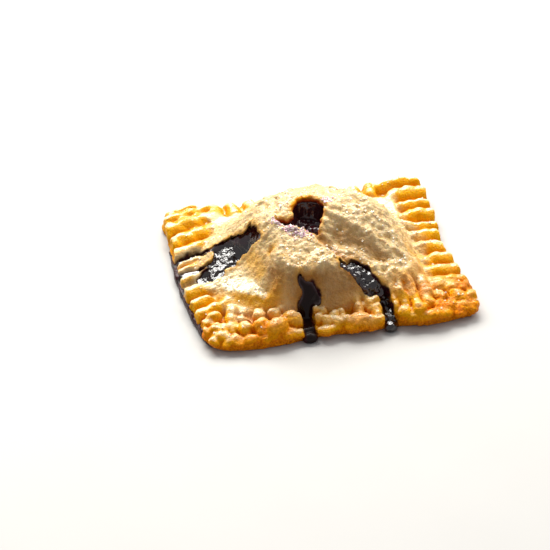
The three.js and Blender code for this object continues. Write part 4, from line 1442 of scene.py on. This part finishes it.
# %% Pastry material
def pastry_material():
    material, tree, shader = new_material("egg_washed_baked_shortcrust")
    speckle = noise(tree, 0.9)
    blotch = noise(tree, 3.0)
    pale = mix_colour(tree, spread(tree, blotch, 0.35, 0.65), "#CDAF7E", "#DCC294")
    gold = mix_colour(tree, spread(tree, blotch, 0.3, 0.7), "#EAA905", "#DC9903")
    shade_and_tan_brown = mix_colour(tree, spread(tree, speckle, 0.3, 0.7), "#AA763A", "#98642E")
    toast_and_shade_orange = mix_colour(tree, spread(tree, speckle, 0.35, 0.65), "#EE8E06", "#C46404")
    juice = mix_colour(tree, spread(tree, speckle, 0.35, 0.65), "#3A0C10", "#1A0810")
    colour = pale
    # Of the tones mixed in below, the cream white is a painted highlight, the tan brown is painted shade
    # apart from the browner right corner, and the gold and orange also hold painted shade in grooves,
    # pits, hollows and flanks.
    for name, tone in {
        "gold_and_painted_shade": gold, "crest": "#F4E2B4", "tan": shade_and_tan_brown, "toast_and_painted_shade": toast_and_shade_orange,
        "burnt": "#A33C08", "stain": juice,
    }.items():
        colour = mix_colour(tree, attribute(tree, name), colour, tone)
    fill_inputs(tree, shader, {
        "Base Color": colour,
        "Roughness": spread(tree, attribute(tree, "rim"), 0, 1, 0.5, 0.34),
        "Specular IOR Level": 0.05,
        "Coat Weight": attribute(tree, "glaze"),
        "Coat Roughness": 0.2,
        "Coat IOR": 1.5,
        "Subsurface Weight": 0.2,
        "Subsurface Radius": (1.0, 0.45, 0.12),
        "Subsurface Scale": 1.5 * MM,
        "Normal": bump_normal(tree, noise(tree, 0.7, roughness=0.6), 1.0, 0.9),
    })
    return material


crust.data.materials.append(pastry_material())
print("material of the crust:", crust.data.materials[0].name)

# %% [markdown]
# ## The berry jam
#
# The filling is a heap of cooked berries in their own set juice. Under the dome nobody sees it;
# in the hole it has sunk well below the lip, and in the tear it has dried to a crinkled skin.
# In the cuts it stands just below the pastry, and from there it runs between the ridges to the
# edge and down over it. Like the sheet it starts as one height map: the form of the dome,
# lowered by as much as the jam has sunk, and roughened by berries, flecks and wrinkles.

# %% The height of the jam
JAM_RECESS = 1.1
HOLE_RECESS = 8
TEAR_RECESS = 1.6
CORNER_RECESS = 4.6
DEEP_CORNER = (-26, 0.5, 5.5)  # x, y and reach
FOLDS_FOLLOWED = 0.4  # the share of the sheet's folds that the jam repeats
BERRY_RISE, BERRY_SIZE = 1.6, 6
FLECK_RISE = 0.4
FLECK_RISE_AT_RIGHT = 0.3  # more of them in the right cut
FLECK_SIZE = 1.05
FLECK_STRETCH = np.array([2.2, 1.0])  # a fleck lies sideways
WRINKLES = [(0.25, 2.0, 66)]
CRINKLES = [(0.13, 1.2, 62), (0.06, 0.95, 63)]
CALM_IN_FRONT = 0.7
JAM_RIM_TOP = 3.9
ROOF_OVERLAP = 0.5  # how far hidden jam reaches into the crust above it
EDGE_FALL = 5.5
FALL_BEYOND_EDGE = 3

in_hole = step_between(-hole_gap, -1.5, 1.5)
in_tear = step_between(-tear_gap, -0.5, 1.0)
in_front_cut = step_between(-front_gap, -0.5, 0.5)
in_right_cut = step_between(-right_gap, -0.5, 0.5)
corner_x, corner_y, corner_reach = DEEP_CORNER
deep_corner = hump(np.hypot(flat_x - corner_x, flat_y - corner_y), 0, corner_reach)
recess = JAM_RECESS + HOLE_RECESS * in_hole + TEAR_RECESS * in_tear + CORNER_RECESS * deep_corner
berries = BERRY_RISE * np.abs(bumps(flat_points, BERRY_SIZE, 64))
wrinkled = bumps(flat_points / FLECK_STRETCH, FLECK_SIZE, 61)
wrinkled *= FLECK_RISE + FLECK_RISE_AT_RIGHT * in_right_cut
wrinkled += layered_bumps(flat_points, WRINKLES)

jam_height = smooth_top + FOLDS_FOLLOWED * on_dome * folded - recess + berries * in_hole
jam_height = np.maximum(jam_height + (1 - in_front_cut) * wrinkled, JAM_RIM_TOP)
jam_height += layered_bumps(flat_points, CRINKLES) * (1 - CALM_IN_FRONT * in_front_cut)
below_roof = np.minimum(jam_height, sheet_top - CRUST + ROOF_OVERLAP)
jam_height += step_between(torn_edge, 0.2, 1.0) * (below_roof - jam_height)
jam_height -= EDGE_FALL * step_between(bottom_edge, -1.6, 0.9)
jam_height -= FALL_BEYOND_EDGE * np.maximum(bottom_edge - 0.3, 0)
print("mean jam height in the hole in mm:", round(float(jam_height[hole_gap < 0].mean()), 1))

# %% [markdown]
# Under the dome the body of the jam ends at the wall of the crust. In the runs it reaches a
# little into the pastry on both sides, so that no gap shows between jam and pastry.

# %% The body of the jam
JAM_STEEPEST = 2.0
BANK = 0.5  # how far the jam reaches into the crust beside it
DOME_FLOOR = FLOOR + 0.2
RUN_FLOOR = 0.25

runs_side = jam_gap - BANK
jam_side = np.minimum(dome_side, runs_side)
jam_floor = np.where(dome_side < runs_side, DOME_FLOOR, RUN_FLOOR)
jam = np.maximum(under_height(jam_height, JAM_STEEPEST), jam_side[:, :, None])
jam = np.maximum(jam, jam_floor[:, :, None] - heights)
print("jam volume in cubic cm:", round(float((jam < 0).sum()) * CELL ** 3 / 1000, 1))

# %% [markdown]
# ### Dried juice at the left edge
#
# Thin juice crept out along the edge of the bottom sheet on the left and dried there. It is a
# band that hugs the sheet's outline, with an uneven top that comes down towards both ends.

# %% The creep at the left edge
CREEP_TOP = 2.9
CREEP_UNEVEN = [(0.6, 5, 65), (0.5, 1.6, 66)]
CREEP_WANDER = [(2.0, 5, 69)]
CREEP_THICKNESS = 0.35
CREEP_INNER_X = -44
CREEP_BACK = 20
CREEP_FRONT = -37
CREEP_END_SLOPE = 0.5
CREEP_LIFT = 0.2  # off the table
CREEP_BLEND = 0.6

creep_y = flat_y + layered_bumps(flat_points, CREEP_WANDER)
creep_top = CREEP_TOP + layered_bumps(flat_points, CREEP_UNEVEN)
creep_top -= 1.9 * step_between(creep_y, 6, 19) + 0.9 * step_between(-creep_y, 31, 37)
creep_ends = CREEP_END_SLOPE * np.maximum(creep_y - CREEP_BACK, CREEP_FRONT - creep_y)
creep_side = np.maximum(bottom_edge - CREEP_THICKNESS, flat_x - CREEP_INNER_X)
creep = np.maximum(creep_side, creep_ends)[:, :, None]
creep = np.maximum(creep, heights - creep_top[:, :, None])
creep = np.maximum(creep, CREEP_LIFT - heights)
jam = soft_min(jam, creep, CREEP_BLEND)
print("creep in mm, back to front:", CREEP_BACK - CREEP_FRONT)

# %% [markdown]
# ### Seeds, and the feet of the front runs
#
# Seeds and berry skins stand out of the jam in the right cut. Each is a small ball, joined to
# the jam with hardly any fillet, so that it keeps its own glint. Where the two front runs come
# down on the table they end in round feet, a little wider than the runs.

# %% Seeds and feet
SEEDS = 110
SEED_RADII = (0.55, 1.0)
SEED_FILLET = 0.08
SURFACE_BAND = 0.22  # a cell this near to the jam's surface can hold a seed
LOWEST_SEED = 1.5
RUN_FEET = [(-12.3, 2.7), (16.9, 2.5)]  # middle x and half the width
RUN_FOOT_Y, RUN_FOOT_HALF_DEPTH = -42.3, 1.9
RUN_FOOT_Z, RUN_FOOT_HALF_HEIGHT = 1.3, 2.2
RUN_FOOT_RADIUS = 1.8
RUN_FOOT_LIFT = 0.1
RUN_FOOT_BLEND = 1.0

seed_random = np.random.default_rng(83)
near_surface = (np.abs(jam) < SURFACE_BAND) & (heights > LOWEST_SEED)
surface_cells = np.argwhere(near_surface & (right_gap < -0.2)[:, :, None])
for cell in seed_random.choice(surface_cells, SEEDS, replace=False):
    radius = seed_random.uniform(*SEED_RADII)
    middle = GRID_LOW + cell * CELL
    box, points = nearby(middle - 2 * SEED_RADII[1], middle + 2 * SEED_RADII[1])
    seed = np.sqrt(sum((points[axis] - middle[axis]) ** 2 for axis in range(3))) - radius
    jam[box] = soft_min(jam[box], seed, SEED_FILLET)

for foot_x, half_width in RUN_FEET:
    reach = ((flat_x - foot_x) / half_width) ** 2 + ((flat_y - RUN_FOOT_Y) / RUN_FOOT_HALF_DEPTH) ** 2
    reach = reach[:, :, None] + ((heights - RUN_FOOT_Z) / RUN_FOOT_HALF_HEIGHT) ** 2
    foot = (np.sqrt(reach) - 1) * RUN_FOOT_RADIUS
    jam = soft_min(jam, np.maximum(foot, RUN_FOOT_LIFT - heights), RUN_FOOT_BLEND)
print("seeds:", SEEDS, "feet:", len(RUN_FEET))

# %% [markdown]
# ### The jam as one piece
#
# Four values tell the material what kind of jam a point has: a thin film beside the dough, a
# dried edge, how rumpled its skin is, and how wet it is. Dried jam in the tear and the seedy
# jam in the right cut are the most rumpled; the left front cut is smooth and without syrup.

# %% The jam
JAM_SKIN = [(0.08, 1.1, 67)]
JAM_TABLE_GAP = 0.05
JAM_KEEP = 0.85

jam_points, jam_faces = distances_to_mesh(jam)
jam_normals = corner_normals(jam_points, jam_faces)
in_opening = (sample(hole_gap, jam_points) < 1) | (sample(jam_gap, jam_points) < 1)
on_creep = (sample(bottom_edge, jam_points) > -2) & (jam_points[:, 0] < 0)
jam_visible = (in_opening | on_creep) & (jam_normals[:, 2] > -0.6)
jam_push = layered_bumps(jam_points, JAM_SKIN) * jam_visible
jam_points = jam_points + jam_normals * jam_push[:, None]
jam_points[:, 2] = np.maximum(jam_points[:, 2], JAM_TABLE_GAP)


def within(gap, end=0.5):
    """1 on the jam inside an opening, 0 outside it."""
    return step_between(-sample(gap, jam_points), -0.5, end)


rumple = 0.16 + 0.3 * within(right_gap) - 0.12 * within(front_gap) + 0.34 * within(tear_gap)
syrup = (1 - within(front_gap)) * (1 - 0.5 * within(hole_gap, 1.5)) * ~on_creep
filling = make_piece("set_berry_jam", jam_points, jam_faces)
for name, values in {
    "film": step_between(sample(jam_gap, jam_points), -0.7, 0.3), "dried": on_creep,
    "rumple": rumple, "syrup": syrup,
}.items():
    add_values(filling, name, values)
thin_out(filling, jam_visible, JAM_KEEP)
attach(filling, "root")
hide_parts("berry_filling")
print("jam faces:", len(jam_faces))

# %% [markdown]
# ## Jam material
#
# Set berry jam. The eye sees a nearly black mass, maroon where a thin film lies on dough, with
# a wet gloss that breaks into small white glints on its crinkles. The syrup on it is a clear
# coat, and both follow the same fine bump. The dried juice at the left edge is dull.

# %% Jam material
def jam_material():
    material, tree, shader = new_material("set_berry_jam")
    bump = bump_normal(tree, noise(tree, 1.1, detail=1.5), attribute(tree, "rumple"), 1.0)
    fill_inputs(tree, shader, {
        "Base Color": mix_colour(tree, attribute(tree, "film"), "#180906", "#300A10"),
        "Roughness": spread(tree, attribute(tree, "dried"), 0, 1, 0.09, 0.4),
        "IOR": 1.45,
        "Specular IOR Level": 0.2,
        "Coat Weight": attribute(tree, "syrup"),
        "Coat Roughness": 0.08,
        "Coat IOR": 1.6,
        "Normal": bump,
        "Coat Normal": bump,
    })
    return material


filling.data.materials.append(jam_material())
print("material of the filling:", filling.data.materials[0].name)

# %% [markdown]
# ## Sugar
#
# Coarse sugar was strewn over the dome before baking. The grains are little blocks of a quarter
# to three quarters of a millimetre that catch the light as white specks. Round the lip of the
# hole juice splashed on them, and they lie in clusters, dyed pink. They could be scattered with
# geometry nodes, but here each grain is written into one mesh, so the piece exports as is.

# %% Where the sugar lies
GRAINS = 460
# Clusters at the lip: x, y and reach in mm, and how many grains.
CLUSTERS = [
    (-9.0, -11.2, 2.0, 91), (-12.2, -8.0, 1.6, 73), (-15.5, -4.0, 1.2, 55), (3.4, 2.4, 1.4, 64),
]
SHY_OF_RIM = 0.8  # how much rarer the grains are on the rim than on the dome
SPLASHED = 0.25
CLUSTER_PINK = 0.8


def choose_seats(random):
    """Points of the skin on which a grain lies, and how pink each grain is."""
    open_skin = skin_visible & (normal_z > 0.8) & (near_hole > 0.2) & (near_jam > 0.3)
    open_skin = np.flatnonzero(open_skin)
    liking = 1 - SHY_OF_RIM * on_rim[open_skin]
    scattered = random.choice(open_skin, GRAINS, replace=False, p=liking / liking.sum())
    seats = [scattered]
    pinkness = [SPLASHED * hump(near_hole[scattered], 0, 2.5)]
    for x, y, reach, count in CLUSTERS:
        liking = round_spot(x, y, reach)[open_skin] + 1e-12
        seats.append(random.choice(open_skin, count, replace=False, p=liking / liking.sum()))
        pinkness.append(np.full(count, CLUSTER_PINK))
    return np.concatenate(seats), np.concatenate(pinkness)


sugar_random = np.random.default_rng(81)
grain_seats, grain_tones = choose_seats(sugar_random)
print("sugar grains:", len(grain_seats))

# %% [markdown]
# Each grain is a cube, made longer or flatter, turned at random and sunk a little in the skin.

# %% Sugar grains
GRAIN_LENGTHS = (0.3, 0.75)
GRAIN_POWER = 1.2  # above 1 it shrinks the small grains most
GRAIN_WIDTHS = (0.7, 1.2)
GRAIN_DEPTHS = (0.6, 1)
GRAIN_LIFT = 0.2  # share of its size by which a grain's middle lies above the skin
PINK_RANGE = (0.1, 1.3)
CUBE = np.array(list(itertools.product((-0.5, 0.5), repeat=3)))
CUBE_FACES = np.array([
    (0, 1, 3, 2), (4, 6, 7, 5), (0, 4, 5, 1), (2, 3, 7, 6), (0, 2, 6, 4), (1, 5, 7, 3),
])


def random_turn(random):
    """A random rotation matrix."""
    matrix, _ = np.linalg.qr(random.normal(size=(3, 3)))
    return matrix


def build_grains(random, seats, tones):
    points, faces, pink = [], [], []
    for seat, tone in zip(seats, tones):
        length = random.uniform(*GRAIN_LENGTHS) ** GRAIN_POWER
        size = length * np.array([1, random.uniform(*GRAIN_WIDTHS), random.uniform(*GRAIN_DEPTHS)])
        centre = pastry_points[seat] + pastry_normals[seat] * GRAIN_LIFT * size.mean()
        faces.append(CUBE_FACES + len(points) * len(CUBE))
        points.append((CUBE * size) @ random_turn(random).T + centre)
        pink.append(np.full(len(CUBE), tone * random.uniform(*PINK_RANGE)))
    return np.concatenate(points), np.concatenate(faces), np.concatenate(pink)


grain_points, grain_faces, grain_pink = build_grains(sugar_random, grain_seats, grain_tones)
sugar = make_piece("sugar_grains", grain_points, grain_faces)
sugar.data.shade_flat()
add_values(sugar, "pink", grain_pink)
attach(sugar, "root")
print("sugar points:", len(grain_points))

# %% [markdown]
# ## Sugar material
#
# Coarse sugar. The eye sees milky white blocks with a soft shine, and some dyed pink by juice.
# Light wanders about inside a grain and leaves it on every side, which a strong subsurface
# shows better than clear glass would at this size.

# %% Sugar material
def sugar_material():
    material, tree, shader = new_material("coarse_sugar")
    fill_inputs(tree, shader, {
        "Base Color": mix_colour(tree, attribute(tree, "pink"), "#F4E8CC", "#C48AA8"),
        "Roughness": 0.22,
        "IOR": 1.54,
        "Subsurface Weight": 0.85,
        "Subsurface Radius": (1.0, 0.95, 0.85),
        "Subsurface Scale": 0.8 * MM,
    })
    return material


sugar.data.materials.append(sugar_material())
print("material of the sugar:", sugar.data.materials[0].name)

# %% [markdown]
# ## The table
#
# A pale grey matt table, so large that its edge is never in sight. It is stage, not a part of
# the pie.

# %% The table
TABLE_REACH = 4.0
TABLE_GRAIN_MM = 30


def make_table():
    mesh = bpy.data.meshes.new("table")
    corners = [(x * TABLE_REACH, y * TABLE_REACH, 0) for x, y in ((-1, -1), (1, -1), (1, 1), (-1, 1))]
    mesh.from_pydata(corners, [], [(0, 1, 2, 3)])
    table = bpy.data.objects.new("table", mesh)
    bpy.context.scene.collection.objects.link(table)
    material, tree, shader = new_material("matt_white_table")
    fill_inputs(tree, shader, {
        "Base Color": mix_colour(tree, noise(tree, TABLE_GRAIN_MM), "#AAA8A5", "#AEACA9"),
        "Roughness": 0.6,
    })
    table.data.materials.append(material)
    return table


table = make_table()
print("table in metres:", 2 * TABLE_REACH)

# %% [markdown]
# ## Light
#
# A large window stands behind the pie, a little to its left, and skims the crests of the
# ridges. A smaller one stands on the right, somewhat behind, and shapes the right slope. A pale
# room all round fills the shadows.

# %% Lights and room
DAYLIGHT = "#FFFDF8"
ROOM_COLOUR = "#F4F6FA"
ROOM_STRENGTH = 0.54


def add_soft_light(name, azimuth, elevation, distance, width, height, watts):
    """A soft light aimed at the pie; azimuth 0 is in front and 90 to the right."""
    turn, rise = math.radians(azimuth), math.radians(elevation)
    towards = Vector((
        math.sin(turn) * math.cos(rise), -math.cos(turn) * math.cos(rise), math.sin(rise),
    ))
    data = bpy.data.lights.new(name, "AREA")
    data.shape = "RECTANGLE"
    data.size = width
    data.size_y = height
    data.energy = watts
    data.color = to_linear(DAYLIGHT)[:3]
    light = bpy.data.objects.new(name, data)
    light.location = towards * distance
    light.rotation_euler = (-towards).to_track_quat("-Z", "Y").to_euler()
    bpy.context.scene.collection.objects.link(light)


def light_the_room():
    world = bpy.data.worlds.new("room")
    world.use_nodes = True
    fill_inputs(world.node_tree, world.node_tree.nodes["Background"], {
        "Color": to_linear(ROOM_COLOUR), "Strength": ROOM_STRENGTH,
    })
    bpy.context.scene.world = world


add_soft_light("window", azimuth=184, elevation=43, distance=1.2, width=1.15, height=0.65, watts=38)
add_soft_light("side_window", azimuth=118, elevation=40, distance=1.4, width=0.8, height=0.8, watts=10)
light_the_room()
bpy.context.scene.view_settings.view_transform = "Standard"
print("lights:", [light.name for light in bpy.data.lights])

# %% [markdown]
# ## The end
#
# At the end the scene is brought up to date.

# %% Finish
bpy.context.view_layer.update()
